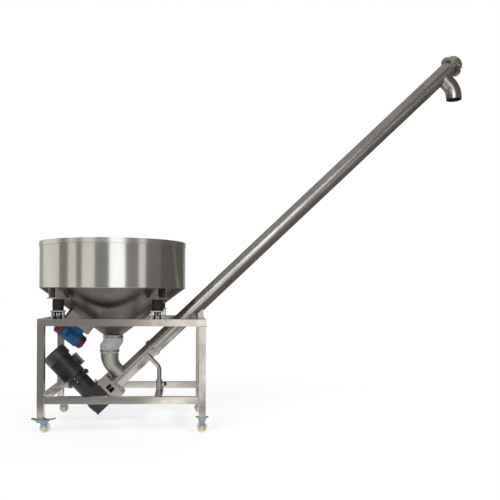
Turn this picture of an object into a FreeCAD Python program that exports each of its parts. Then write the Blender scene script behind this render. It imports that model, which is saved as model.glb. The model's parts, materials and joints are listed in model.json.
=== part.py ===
"""Mobile screw conveyor: a vibrated round hopper and an inclined tube auger on a castered frame.

Units are millimetres and degrees. X runs along the frame towards the discharge end, Y runs away
from the operator's side, and Z is up. The floor is Z 0, and the origin lies on it under the middle
of the whole machine. Sizes are kept in the spreadsheet, and every piece is bound to them.
"""
import FreeCAD, Part
import math
import os
import re

import Sketcher

os.makedirs("parts", exist_ok=True)
doc = FreeCAD.newDocument("screw_conveyor")

SIZES = {
    # frame of square tube
    "frame_length": 1200,
    "frame_width": 780,
    "frame_top": 810,
    "square_tube": 50,
    "tube_wall": 2,
    "rail_low": 205,
    "post_foot": 112,
    "foot_plate": 6,
    "rail_cap": 3,
    "cross_x": 257,
    # casters
    "wheel_radius": 37.5,
    "wheel_width": 26,
    "wheel_hub": 12,
    "wheel_rim": 28,
    "wheel_web": 5,
    "wheel_axle": 5,
    "axle_end": 3,
    "wheel_gap": 1.5,
    "caster_trail": 28,
    "cheek": 4,
    "crown": 5.4,
    "crown_half": 24,
    "crown_nose": 10,
    "fixed_half": 32,
    "fixed_plate": 92,
    "race_radius": 26,
    "race_height": 10,
    "king_pin": 5,
    "rivet": 3,
    "stem": 6,
    "stem_length": 18,
    "swivel_gap": 0.3,
    "running_gap": 0.05,
    "pedal_plate": 3,
    "pedal_wing": 46,
    "pedal_width": 62,
    "pedal_pivot_x": 20,
    "pedal_pivot_z": 82,
    "pedal_pin": 4,
    "pedal_pin_end": 5,
    "pedal_drop": 16,
    "pedal_reach": 105,
    "pedal_back": 66,
    "heading_front_left": 0,
    "heading_rear_left": 20,
    # hopper
    "hopper_x": -102,
    "hopper_radius": 556,
    "hopper_sheet": 2,
    "drum_rise": 224,
    "drum_height": 343,
    "cone_height": 362,
    "outlet_radius": 72,
    "outlet_length": 32,
    "rim_height": 32,
    "rim_sheet": 3,
    # rubber springs, their seats and the lugs on them
    "spring_x": 354,
    "spring_radius": 41,
    "spring_height": 85,
    "seat_height": 60,
    "seat_side": 96,
    "seat_plate": 8,
    "lug_plate": 8,
    "lug_width": 116,
    "lug_inner": 425,
    "lug_outer": 564,
    "lug_rib": 6,
    "lug_rib_spread": 84,
    "lug_nut": 12,
    # vibration motor on the cone
    "vibrator_azimuth": 203,
    "vibrator_along": 219,
    "vibrator_depth": 147,
    "vibrator_radius": 58,
    "vibrator_length": 150,
    "vibrator_cover": 52,
    "vibrator_cover_length": 46,
    "vibrator_cover_wall": 4,
    "vibrator_foot": 20,
    "vibrator_shaft": 12,
    "bracket_length": 210,
    "bracket_width": 96,
    "bracket_plate": 6,
    # conveyor tube and its inlet section
    "incline": 43.5,
    "tube_start_x": -81,
    "rail_gap": 5,
    "conveyor_radius": 60.5,
    "conveyor_wall": 2.5,
    "socket_gap": 0.3,
    "joint_at": 378,
    "socket_length": 80,
    "tube_end_at": 3612,
    "head_length": 290,
    "ferrule_radius": 78,
    "ferrule": 8,
    "inlet_flange": 86,
    "inlet_flange_plate": 8,
    # inlet elbow, flexible sleeve and its clamps
    "inlet_x": -129,
    "elbow_radius": 57,
    "elbow_mouth": 69,
    "elbow_bend": 150,
    "elbow_drop": 146,
    "elbow_neck": 50,
    "sleeve_wall": 3,
    "sleeve_cuff": 34,
    "sleeve_bulge": 8,
    "hose_clamp": 3,
    "hose_clamp_width": 14,
    "worm_length": 28,
    "worm_rise": 8,
    "worm_radius": 5,
    "worm_screw": 20,
    # discharge spout
    "spout_at": 3505,
    "spout_radius": 57,
    "spout_bend": 150,
    "spout_drop": 150,
    "spout_lip": 17,
    # joint collar and end clamp
    "collar_width": 30,
    "collar_band": 7,
    "clamp_lip": 3,
    "clamp_band": 8,
    "ear": 10,
    "ear_gap": 12,
    "ear_reach": 30,
    "ear_bolt": 4,
    "bolt_head": 8,
    "bolt_head_height": 6,
    "wing_nut_length": 20,
    "wing_span": 32,
    "wing_plate": 5,
    "clamp_bolt_tail": 42,
    # end cap and bearings
    "cap_radius": 62,
    "cap_length": 52,
    "cap_dome": 20,
    "cap_wall": 5,
    "carrier_wall": 6,
    "bearing_radius": 26,
    "bearing_width": 14,
    # auger
    "shaft_radius": 15,
    "pipe_radius": 21,
    "pipe_wall": 4,
    "pipe_start": 12,
    "stub_seat": 30,
    "top_stub": 40,
    "flight_gap": 3.2,
    "flight_pitch": 100,
    "flight_sheet": 3,
    "flight_start": 26,
    "weld_gap": 0.2,
    # lantern between tube and gearbox
    "lantern_length": 85,
    "lantern_side": 200,
    "lantern_plate": 16,
    "lantern_wall": 8,
    "window_length": 44,
    "window_height": 58,
    "coupling_radius": 28,
    "coupling_length": 46,
    "coupling_gap": 2,
    # right-angle gearbox
    "gearbox_length": 171,
    "gearbox_half_width": 68,
    "gearbox_below": 84,
    "gearbox_above": 105,
    "gearbox_wall": 8,
    "gearbox_neck": 72,
    "gearbox_lid": 10,
    "motor_set_back": 104,
    "crown_radius": 59,
    "crown_inner": 40,
    "gear_ratio": 5,
    "gear_gap": 0.5,
    "crown_thickness": 14,
    "crown_tail": 45,
    # drive motor
    "motor_face": 222,
    "motor_flange": 100,
    "motor_flange_plate": 12,
    "motor_bell": 36,
    "motor_barrel": 84,
    "motor_barrel_length": 172,
    "motor_wall": 7,
    "motor_shaft": 14,
    "rotor_radius": 56,
    "rotor_length": 110,
    "fin_height": 13,
    "fin_sheet": 3.5,
    "fin_count": 30,
    "fan_cover_radius": 98,
    "fan_cover_length": 78,
    "fan_cover_sheet": 2.5,
    "fan_cover_lap": 6,
    "fan_radius": 78,
    "fan_width": 26,
    "terminal_box_length": 98,
    "terminal_box_width": 98,
    "terminal_box_height": 30,
    # strut under the tube, and the saddle on the end rail
    "strut_at": 332,
    "strut_y": -48,
    "strut_radius": 17,
    "strut_bend": 60,
    "strut_drop": 141,
    "strut_sleeve_radius": 24,
    "strut_sleeve_length": 76,
    "strut_insert": 50,
    "screw_radius": 5,
    "screw_boss": 10,
    "screw_boss_length": 12,
    "screw_rise": 44,
    "knob_radius": 16,
    "knob_length": 16,
    "saddle_width": 92,
    "saddle_plate": 6,
    "saddle_edge": 6,
    # offset of the origin from the frame's middle, measured from the finished model
    "origin_x": 0,
}

sheet = doc.addObject("Spreadsheet::Sheet", "dims")
for row, (alias, number) in enumerate(SIZES.items(), 1):
    sheet.set(f"A{row}", alias)
    sheet.set(f"B{row}", str(number))
    sheet.setAlias(f"B{row}", alias)
doc.recompute()

WORD = re.compile(r"[A-Za-z_]\w*")
AXES = {
    "x": FreeCAD.Vector(1, 0, 0),
    "y": FreeCAD.Vector(0, 1, 0),
    "z": FreeCAD.Vector(0, 0, 1),
}
SIDES = ("-1", "1")
NODES = {}


def linked(text):
    """Turn each size's word in a formula into a reference to its spreadsheet cell."""
    return WORD.sub(lambda word: "dims." + word.group() if word.group() in SIZES else word.group(), str(text))


def size(alias):
    """Read one size from the spreadsheet."""
    return float(sheet.get(alias))


def tie(item, **formulas):
    """Bind properties of an object to formulas."""
    for prop, text in formulas.items():
        item.setExpression(prop, linked(text))


def place(item, x="0", y="0", z="0", axis=None, angle="0"):
    """Put an object at x, y, z, turned by an angle about one axis."""
    if axis:
        item.Placement = FreeCAD.Placement(FreeCAD.Vector(), FreeCAD.Rotation(AXES[axis], 1))
        item.setExpression("Placement.Rotation.Angle", linked(angle))
    item.setExpression("Placement.Base.x", linked(x))
    item.setExpression("Placement.Base.y", linked(y))
    item.setExpression("Placement.Base.z", linked(z))
    return item


def node(name, item, x="0", y="0", z="0", axis=None, angle="0"):
    """Finish a sub-part: its label, its place, and its entry in the list of files."""
    item.Label = name
    place(item, f"{x} - origin_x", y, z, axis, angle)
    NODES[name] = item
    return item


def block(length, width, height, x="0", y="0", z="0"):
    """A box given by its three sizes and its centre."""
    item = doc.addObject("Part::Box", "block")
    tie(item, Length=length, Width=width, Height=height)
    return place(item, f"{x} - ({length}) / 2", f"{y} - ({width}) / 2", f"{z} - ({height}) / 2")


def rod(radius, length, x="0", y="0", z="0", axis="z"):
    """A round bar that starts at x, y, z and runs along one axis."""
    item = doc.addObject("Part::Cylinder", "rod")
    tie(item, Radius=radius, Height=length)
    turns = {"x": ("y", "90"), "y": ("x", "-90"), "z": (None, "0")}
    return place(item, x, y, z, *turns[axis])


def join(*items):
    """One solid from several overlapping ones."""
    if len(items) == 1:
        return items[0]
    item = doc.addObject("Part::MultiFuse", "join")
    item.Shapes = list(items)
    return item


def cut(base, *tools):
    """A solid with others cut away from it."""
    item = doc.addObject("Part::Cut", "cut")
    item.Base = base
    item.Tool = join(*tools)
    return item


def group(*items):
    """Separate solids kept in one sub-part."""
    item = doc.addObject("Part::Compound", "group")
    item.Links = list(items)
    return item


def outline_sketch(body, outline, plane):
    """A closed outline of straight lines, each corner held by two distances from the origin."""
    sketch = body.newObject("Sketcher::SketchObject", "outline")
    support = [item for item in body.Origin.OriginFeatures if item.Role == plane][0]
    sketch.AttachmentSupport = [(support, "")]
    sketch.MapMode = "FlatFace"
    count = len(outline)
    start = [FreeCAD.Vector(100 + math.cos(step), 100 + math.sin(step), 0)
             for step in (2 * math.pi * index / count for index in range(count))]
    for index in range(count):
        sketch.addGeometry(Part.LineSegment(start[index], start[(index + 1) % count]), False)
    for index in range(count):
        sketch.addConstraint(Sketcher.Constraint("Coincident", index, 2, (index + 1) % count, 1))
    for index, corner in enumerate(outline):
        for kind, formula in zip(("DistanceX", "DistanceY"), corner):
            held = sketch.addConstraint(Sketcher.Constraint(kind, -1, 1, index, 1, 1.0))
            sketch.setExpression(f"Constraints[{held}]", linked(formula))
    return sketch


def turned(*outline):
    """A body turned about its Z axis from an outline of (radius, height) corners."""
    body = doc.addObject("PartDesign::Body", "turned")
    feature = body.newObject("PartDesign::Revolution", "revolution")
    sketch = outline_sketch(body, outline, "XZ_Plane")
    feature.Profile = sketch
    feature.ReferenceAxis = (sketch, ["V_Axis"])
    feature.Angle = 360
    body.Tip = feature
    return body


def plate(thickness, *outline):
    """A flat plate of an outline in the XZ plane, half of its thickness on each side of it."""
    body = doc.addObject("PartDesign::Body", "plate")
    feature = body.newObject("PartDesign::Pad", "pad")
    feature.Profile = outline_sketch(body, outline, "XZ_Plane")
    feature.SideType = "Symmetric"
    tie(feature, Length=thickness)
    body.Tip = feature
    return body


def ring(inner, outer, width):
    """A plain ring about the Z axis."""
    return turned((inner, "0"), (outer, "0"), (outer, width), (inner, width))


# Frame: posts, rails, plates

HALF_X = "(frame_length - square_tube) / 2"
HALF_Y = "(frame_width - square_tube) / 2"
TOP_RAIL_Z = "frame_top - square_tube / 2"
LOW_RAIL_Z = "rail_low + square_tube / 2"
HOLLOW = "square_tube - 2 * tube_wall"
CORNERS = {
    "front_left": ("-1", "-1"),
    "front_right": ("1", "-1"),
    "rear_left": ("-1", "1"),
    "rear_right": ("1", "1"),
}
SWIVELLING = ("front_left", "rear_left")


def square_tube(axis, length, x, y, z):
    """A length of square tube along one axis, given by its centre."""
    outer = [length if name == axis else "square_tube" for name in "xyz"]
    inner = [length if name == axis else HOLLOW for name in "xyz"]
    return cut(block(*outer, x, y, z), block(*inner, x, y, z))


def build_frame():
    """Four posts on foot plates, joined by an upper and a lower ring of rails and a cross rail."""
    post_bottom = "(post_foot + foot_plate)"
    post_top = "(frame_top - square_tube)"
    posts = [square_tube("z", f"{post_top} - {post_bottom}", f"{sx} * {HALF_X}", f"{sy} * {HALF_Y}",
                         f"({post_top} + {post_bottom}) / 2") for sx, sy in CORNERS.values()]
    node("frame_posts", group(*posts))
    top = [square_tube("x", "frame_length - 2 * rail_cap", "0", f"{sy} * {HALF_Y}", TOP_RAIL_Z)
           for sy in SIDES]
    node("top_long_rails", group(*top))
    low = [square_tube("x", "frame_length - 2 * square_tube", "0", f"{sy} * {HALF_Y}", LOW_RAIL_Z)
           for sy in SIDES]
    node("lower_long_rails", group(*low))
    ends = [square_tube("y", "frame_width - 2 * square_tube", f"{sx} * {HALF_X}", "0", z)
            for sx in SIDES for z in (TOP_RAIL_Z, LOW_RAIL_Z)]
    node("end_rails", group(*ends))
    node("cross_rail", square_tube("y", "frame_width - 2 * square_tube", "cross_x", "0", LOW_RAIL_Z))
    caps = [block("rail_cap", "square_tube", "square_tube", f"{sx} * (frame_length - rail_cap) / 2",
                  f"{sy} * {HALF_Y}", TOP_RAIL_Z) for sx, sy in CORNERS.values()]
    feet = []
    for corner, (sx, sy) in CORNERS.items():
        foot = block("square_tube", "square_tube", "foot_plate", f"{sx} * {HALF_X}", f"{sy} * {HALF_Y}",
                     "post_foot + foot_plate / 2")
        stem_hole = rod("stem + running_gap", "3 * foot_plate", f"{sx} * {HALF_X}", f"{sy} * {HALF_Y}",
                        "post_foot - foot_plate")
        feet.append(cut(foot, stem_hole) if corner in SWIVELLING else foot)
    node("tube_end_plates", group(*caps, *feet))


# Casters: a fixed race and king pin, a trailing fork with its axle, a wheel and a brake pedal

RIVET_Z = "(post_foot - race_height - crown - 2 * swivel_gap - rivet)"
CROWN_Z = "(post_foot - race_height - swivel_gap - crown)"
FORK_INNER = "(wheel_width / 2 + wheel_gap)"
FORK_OUTER = "(wheel_width / 2 + wheel_gap + cheek)"


def caster_race():
    """Race, king pin and threaded stem in one turned piece, standing on its rivet head."""
    crown_gap = "(rivet + crown + 2 * swivel_gap)"
    stem_top = f"({crown_gap} + race_height + stem_length)"
    return turned(("0", "0"), ("2 * king_pin - 1", "0"), ("2 * king_pin - 1", "rivet"),
                  ("king_pin", "rivet"), ("king_pin", crown_gap), ("race_radius", crown_gap),
                  ("race_radius", f"{crown_gap} + race_height"), ("stem", f"{crown_gap} + race_height"),
                  ("stem", stem_top), ("0", stem_top))


def fork_cheeks(back, front, under, top, trail):
    """Two cheeks that narrow from the crown, between back and front, to the axle."""
    return [place(plate("cheek", (f"-{back}", under), (f"-{back}", top), (front, top),
                        (f"{trail} + wheel_hub", "wheel_radius"), (trail, "wheel_radius - wheel_hub"),
                        (f"{trail} - wheel_hub", "wheel_radius")),
                  "0", f"{side} * ({FORK_INNER} + cheek / 2)") for side in SIDES]


def axle(trail):
    """A wheel's axle, a little longer than the fork is wide."""
    return rod("wheel_axle", f"2 * ({FORK_OUTER} + axle_end)", trail, f"-{FORK_OUTER} - axle_end",
               "wheel_radius", "y")


def swivel_fork():
    """Crown plate with two cheeks, the axle between them and the pedal's pins, trailing along X."""
    crown_top = f"({CROWN_Z} + crown)"
    crown_plate = block("2 * crown_half + crown_nose", f"2 * {FORK_OUTER}", "crown", "crown_nose / 2", "0",
                        f"{CROWN_Z} + crown / 2")
    cheeks = fork_cheeks("crown_half", "crown_half + crown_nose", CROWN_Z, crown_top, "caster_trail")
    pivots = rod("pedal_pin", f"2 * {FORK_OUTER} + 2 * pedal_pin_end", "pedal_pivot_x",
                 f"-{FORK_OUTER} - pedal_pin_end", "pedal_pivot_z", "y")
    clear = block("4 * crown_half", f"2 * {FORK_INNER}", "2 * wheel_radius", "0", "0", "pedal_pivot_z")
    pins = cut(pivots, clear)
    hole = rod("king_pin + running_gap", "4 * crown", "0", "0", f"{CROWN_Z} - crown")
    return cut(join(crown_plate, *cheeks, axle("caster_trail"), pins), hole)


def fixed_fork():
    """A fork without a race, right under the post's foot, with its axle under the post's middle."""
    under = "(post_foot - crown)"
    crown_plate = block("fixed_plate", f"2 * {FORK_OUTER}", "crown", "0", "0", f"{under} + crown / 2")
    cheeks = fork_cheeks("fixed_half", "fixed_half", under, "post_foot", "0")
    return join(crown_plate, *cheeks, axle("0"))


def caster_wheel():
    """A spoked-in tread on a hub, turned about its axle."""
    bore = "(wheel_axle + running_gap)"
    half_web = "(wheel_web / 2)"
    mid = "(wheel_width / 2)"
    return turned((bore, "0"), ("wheel_hub", "0"), ("wheel_hub", f"{mid} - {half_web}"),
                  ("wheel_rim", f"{mid} - {half_web}"), ("wheel_rim", "1"), ("wheel_radius - 2.5", "1"),
                  ("wheel_radius", "6"), ("wheel_radius", "wheel_width - 6"),
                  ("wheel_radius - 2.5", "wheel_width - 1"), ("wheel_rim", "wheel_width - 1"),
                  ("wheel_rim", f"{mid} + {half_web}"), ("wheel_hub", f"{mid} + {half_web}"),
                  ("wheel_hub", "wheel_width"), (bore, "wheel_width"))


def caster_pedal():
    """Two side arms that hang on the fork's pivot pins, with a tread wing at each end."""
    low = "(pedal_pivot_z - 9)"
    top = "(pedal_pivot_z + 9)"
    wing_root = "(pedal_reach - pedal_wing)"
    back_root = "(pedal_back - pedal_wing + 12)"
    raised = "(pedal_pivot_z + pedal_drop)"
    profile = (("pedal_reach", raised), ("pedal_reach", f"{raised} + pedal_plate"),
               (wing_root, f"{top} + pedal_plate"), (f"-{back_root}", f"{top} + pedal_plate"),
               ("-pedal_back", f"{raised} + pedal_plate"), ("-pedal_back", raised),
               (f"-{back_root}", f"{top} - 2"), (f"-{back_root} + 6", low), (f"{wing_root} - 6", low),
               (wing_root, f"{top} - 2"))
    solid = plate("pedal_width", *profile)
    slot = block(f"{wing_root} + {back_root} - 4", "pedal_width - 2 * pedal_plate", "6 * pedal_drop",
                 f"({wing_root} - {back_root}) / 2", "0", "pedal_pivot_z")
    narrow = [block("3 * pedal_reach", "pedal_width", "6 * pedal_drop", "0",
                    f"{side} * (pedal_width / 2 + {FORK_OUTER} + 4 + pedal_plate)", "pedal_pivot_z")
              for side in SIDES]
    arms_slot = block(f"{wing_root} + {back_root} - 4", f"2 * {FORK_OUTER} + 2", "6 * pedal_drop",
                      f"({wing_root} - {back_root}) / 2", "0", "pedal_pivot_z")
    holes = rod("pedal_pin + running_gap", "2 * pedal_width", "pedal_pivot_x", "-pedal_width",
                "pedal_pivot_z", "y")
    return cut(solid, *narrow, arms_slot, holes)


def build_casters():
    """A swivel caster with a brake under each left post, and a fixed one under each right post."""
    races = [place(caster_race(), f"{CORNERS[corner][0]} * {HALF_X}", f"{CORNERS[corner][1]} * {HALF_Y}",
                   RIVET_Z) for corner in SWIVELLING]
    node("caster_races", group(*races))
    for corner, (sx, sy) in CORNERS.items():
        swivels = corner in SWIVELLING
        spot = (f"{sx} * {HALF_X}", f"{sy} * {HALF_Y}", "0", "z", f"heading_{corner}" if swivels else "0")
        wheel = place(caster_wheel(), "caster_trail" if swivels else "0", "wheel_width / 2", "wheel_radius",
                      "x", "90")
        node(f"caster_wheel_{corner}", group(wheel), *spot)
        node(f"caster_fork_{corner}", swivel_fork() if swivels else fixed_fork(), *spot)
        if swivels:
            node(f"brake_pedal_{corner}", caster_pedal(), *spot)


# Hopper: drum, rim, cone, lugs on rubber springs, and the vibration motor

DRUM_Z = "(frame_top + drum_rise)"
CONE_Z = "(frame_top + drum_rise - cone_height)"
OUTLET_Z = "(frame_top + drum_rise - cone_height - outlet_length)"
SPRING_Z = "(frame_top + seat_height)"
LUG_Z = "(frame_top + seat_height + spring_height)"
CONE_RUN = "(hopper_radius - outlet_radius)"
SLANT_WALL = f"(hopper_sheet * sqrt(cone_height * cone_height + {CONE_RUN} * {CONE_RUN}) / cone_height)"
LUG_ANGLE = f"atan({HALF_Y} / spring_x)"


def build_hopper():
    """Open drum with a rim band, standing on a cone that ends in a short outlet neck."""
    node("hopper_drum", ring("hopper_radius - hopper_sheet", "hopper_radius", "drum_height"),
         "hopper_x", "0", DRUM_Z)
    rim = turned(("hopper_radius", "0"), ("hopper_radius + rim_sheet", "0"),
                 ("hopper_radius + rim_sheet", "rim_height + rim_sheet"),
                 ("hopper_radius - hopper_sheet", "rim_height + rim_sheet"),
                 ("hopper_radius - hopper_sheet", "rim_height"), ("hopper_radius", "rim_height"))
    node("hopper_rim", rim, "hopper_x", "0", f"{DRUM_Z} + drum_height - rim_height")
    neck_inner = "(outlet_radius - hopper_sheet)"
    neck_rise = f"(({SLANT_WALL} - hopper_sheet) * cone_height / {CONE_RUN})"
    cone = turned(("outlet_radius", "0"), ("outlet_radius", "outlet_length"),
                  ("hopper_radius", "outlet_length + cone_height"),
                  (f"hopper_radius - {SLANT_WALL}", "outlet_length + cone_height"),
                  (neck_inner, f"outlet_length + {neck_rise}"), (neck_inner, "0"))
    node("hopper_cone", cone, "hopper_x", "0", OUTLET_Z)


def cone_body():
    """The cone's filled outer form, about the hopper's axis, to shape what is welded to it."""
    item = doc.addObject("Part::Cone", "cone_body")
    tie(item, Radius1="outlet_radius", Radius2="hopper_radius", Height="cone_height")
    return place(item, "0", "0", CONE_Z)


def hopper_lug():
    """A foot plate with two ribs, along X from the hopper's axis, trimmed to the cone's side."""
    reach = "(lug_outer - lug_inner)"
    foot = block(reach, "lug_width", "lug_plate", "(lug_outer + lug_inner) / 2", "0", f"{LUG_Z} + lug_plate / 2")
    rib_top = f"{LUG_Z} + lug_plate"
    ribs = [place(plate("lug_rib", ("lug_inner", rib_top), ("lug_outer - lug_rib", rib_top),
                        ("hopper_radius + 2", DRUM_Z), ("lug_inner", DRUM_Z)),
                  "0", f"{side} * lug_rib_spread / 2") for side in SIDES]
    nut = rod("lug_nut", "lug_nut", f"sqrt(spring_x * spring_x + {HALF_Y} * {HALF_Y})", "0", rib_top)
    return cut(join(foot, *ribs, nut), cone_body())


def build_mounts():
    """Four seats welded on the long rails, a rubber spring on each, and a lug on each spring."""
    lugs = [place(hopper_lug(), "0", "0", "0", "z", angle) for angle in
            (LUG_ANGLE, f"180 deg - {LUG_ANGLE}", f"180 deg + {LUG_ANGLE}", f"360 deg - {LUG_ANGLE}")]
    node("hopper_lugs", group(*lugs), "hopper_x")
    springs = []
    seats = []
    for sx, sy in CORNERS.values():
        x, y = f"{sx} * spring_x", f"{sy} * {HALF_Y}"
        body = turned(("0", "0"), ("spring_radius", "0"), ("spring_radius", "6"), ("spring_radius - 2", "9"),
                      ("spring_radius - 2", "spring_height - 9"), ("spring_radius", "spring_height - 6"),
                      ("spring_radius", "spring_height"), ("0", "spring_height"))
        springs.append(place(body, x, y, SPRING_Z))
        top = block("seat_side", "seat_side", "seat_plate", x, y, f"{SPRING_Z} - seat_plate / 2")
        legs = [block("seat_plate", "square_tube", "seat_height - seat_plate",
                      f"{x} + {side} * (seat_side / 2 - seat_plate)", y,
                      "frame_top + (seat_height - seat_plate) / 2") for side in SIDES]
        seats.append(join(top, *legs))
    node("rubber_springs", group(*springs), "hopper_x")
    node("spring_seats", group(*seats), "hopper_x")


# The vibration motor is drawn in a frame that lies on the cone's side: X up the slope, Z inwards
SLOPE = f"atan(cone_height / {CONE_RUN})"
VIBRATOR = ("outlet_radius", "0", CONE_Z, "y", f"-{SLOPE}")


def build_vibrator():
    """Channel bracket, motor case with its foot, end covers, and the shaft with its two weights."""
    around = ("hopper_x", "0", "0", "z", "vibrator_azimuth")
    axis_z = "-vibrator_depth"
    base_z = "(-vibrator_depth + vibrator_radius + vibrator_foot - 4)"
    web = block("bracket_length", "bracket_width", "bracket_plate", "vibrator_along", "0",
                f"{base_z} + bracket_plate / 2")
    sides = [block("bracket_length", "bracket_plate", f"25 - {base_z}", "vibrator_along",
                   f"{side} * (bracket_width - bracket_plate) / 2", f"(25 + {base_z}) / 2") for side in SIDES]
    node("vibrator_bracket", cut(place(join(web, *sides), *VIBRATOR), cone_body()), *around)
    half = "(vibrator_length / 2)"
    shell = rod("vibrator_radius", "vibrator_length", f"vibrator_along - {half}", "0", axis_z, "x")
    bore = rod("vibrator_cover - vibrator_cover_wall", "vibrator_length", f"vibrator_along - {half}", "0",
               axis_z, "x")
    foot = block("vibrator_length - 24", "bracket_width - 4", "vibrator_foot + vibrator_radius",
                 "vibrator_along", "0", f"{base_z} - (vibrator_foot + vibrator_radius) / 2")
    node("vibrator_case", group(place(cut(join(shell, foot), bore), *VIBRATOR)), *around)
    covers = []
    for side in SIDES:
        cup = turned(("0", "vibrator_cover_length - vibrator_cover_wall"),
                     ("vibrator_cover - vibrator_cover_wall", "vibrator_cover_length - vibrator_cover_wall"),
                     ("vibrator_cover - vibrator_cover_wall", "0"), ("vibrator_cover", "0"),
                     ("vibrator_cover", "vibrator_cover_length - 8"),
                     ("vibrator_cover - 8", "vibrator_cover_length"), ("0", "vibrator_cover_length"))
        covers.append(place(cup, f"vibrator_along + {side} * {half}", "0", axis_z, "y", f"{side} * 90"))
    node("vibrator_covers", group(place(group(*covers), *VIBRATOR)), *around)
    shaft_length = "(vibrator_length + 2 * vibrator_cover_length - 4 * vibrator_cover_wall)"
    shaft = rod("vibrator_shaft", shaft_length, f"vibrator_along - {shaft_length} / 2", "0", axis_z, "x")
    core = rod("vibrator_cover - 3 * vibrator_cover_wall", "vibrator_length - 60",
               f"vibrator_along - {half} + 30", "0", axis_z, "x")
    weights = []
    for side in SIDES:
        disc = rod("vibrator_cover - 2 * vibrator_cover_wall", "20",
                   f"vibrator_along + {side} * ({half} + 18) - 10", "0", axis_z, "x")
        upper = block("40", "2 * vibrator_cover", "vibrator_cover", f"vibrator_along + {side} * ({half} + 18)",
                      "0", f"{axis_z} + vibrator_cover / 2 + vibrator_shaft / 2")
        weights.append(cut(disc, upper))
    node("vibrator_rotor", group(place(join(shaft, core, *weights), *VIBRATOR)), *around)


# The conveyor's axis rises along X. "along" is measured on it from the lantern's tube-side face,
# and "up" is square to it, up and towards the drive motor.

RAIL_EDGE_X = "(frame_length / 2 - square_tube)"
START_Z = (f"(frame_top - (({RAIL_EDGE_X} - tube_start_x) * sin(incline) - conveyor_radius - rail_gap)"
           " / cos(incline))")
INLET_RADIUS = "(conveyor_radius - conveyor_wall - socket_gap)"
INLET_BORE = "(conveyor_radius - 2 * conveyor_wall - socket_gap)"


def on_tube(along, up="0"):
    """World X and Z of a point given by its place along the tube and up from its axis."""
    x = f"tube_start_x + ({along}) * cos(incline) - ({up}) * sin(incline)"
    z = f"{START_Z} + ({along}) * sin(incline) + ({up}) * cos(incline)"
    return x, z


def tube_node(name, item):
    """A sub-part drawn with X along the tube and Z square to it."""
    node(name, item, "tube_start_x", "0", START_Z, "y", "-incline")


def coaxial(item, along, use=node, name=None):
    """A turned piece set on the tube's axis with its base at a distance along the tube."""
    x, z = on_tube(along)
    if name:
        return use(name, item, x, "0", z, "y", "90 - incline")
    return place(item, x, "0", z, "y", "90 - incline")


def bent_pipe(radius, drop, bend, neck):
    """A solid bar that hangs square to the tube's axis, then bends by the incline to the vertical."""
    straight = f"({drop} - {bend} * tan(incline / 2))"
    root = rod(radius, straight)
    root.Placement = FreeCAD.Placement(FreeCAD.Vector(), FreeCAD.Rotation(AXES["x"], 180))
    elbow = doc.addObject("Part::Torus", "elbow")
    tie(elbow, Radius1=bend, Radius2=radius, Angle3="incline")
    turn = FreeCAD.Rotation(AXES["x"], -AXES["z"], AXES["y"], "ZXY")
    elbow.Placement = FreeCAD.Placement(FreeCAD.Vector(), turn)
    elbow.setExpression("Placement.Base.x", linked(f"-{bend}"))
    elbow.setExpression("Placement.Base.z", linked(f"-{straight}"))
    end = rod(radius, neck)
    place(end, f"{bend} * (cos(incline) - 1)", "0", f"-{straight} - {bend} * sin(incline)", "y",
          "incline + 180")
    return join(root, elbow, end)


ELBOW_AT = "((inlet_x - tube_start_x + elbow_drop * sin(incline)) / cos(incline))"
ELBOW_TOP_Z = (f"({START_Z} + {ELBOW_AT} * sin(incline) + elbow_drop * cos(incline)"
               " + elbow_bend * tan(incline / 2) + elbow_neck)")


def flared_elbow(thinner):
    """A solid bar square to the tube's axis, bent to the vertical and widened from its root to its mouth."""
    straight = "(elbow_drop - elbow_bend * tan(incline / 2))"
    sections = 4
    stations = []
    for step in range(sections + 1):
        turn = f"(incline * {step} / {sections})"
        circle = doc.addObject("Part::Circle", "station")
        tie(circle, Radius=f"elbow_radius + (elbow_mouth - elbow_radius) * {step} / {sections} - {thinner}")
        stations.append(place(circle, f"elbow_bend * (1 - cos{turn})", "0",
                              f"{straight} + elbow_bend * sin{turn}", "y", turn))
    bend = doc.addObject("Part::Loft", "bend")
    bend.Sections = stations
    bend.Solid = True
    end = rod(f"elbow_mouth - {thinner}", "elbow_neck")
    end = place(group(end), "elbow_bend * (1 - cos(incline))", "0", f"{straight} + elbow_bend * sin(incline)",
                "y", "incline")
    return join(rod(f"elbow_radius - {thinner}", straight), bend, end)


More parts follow.
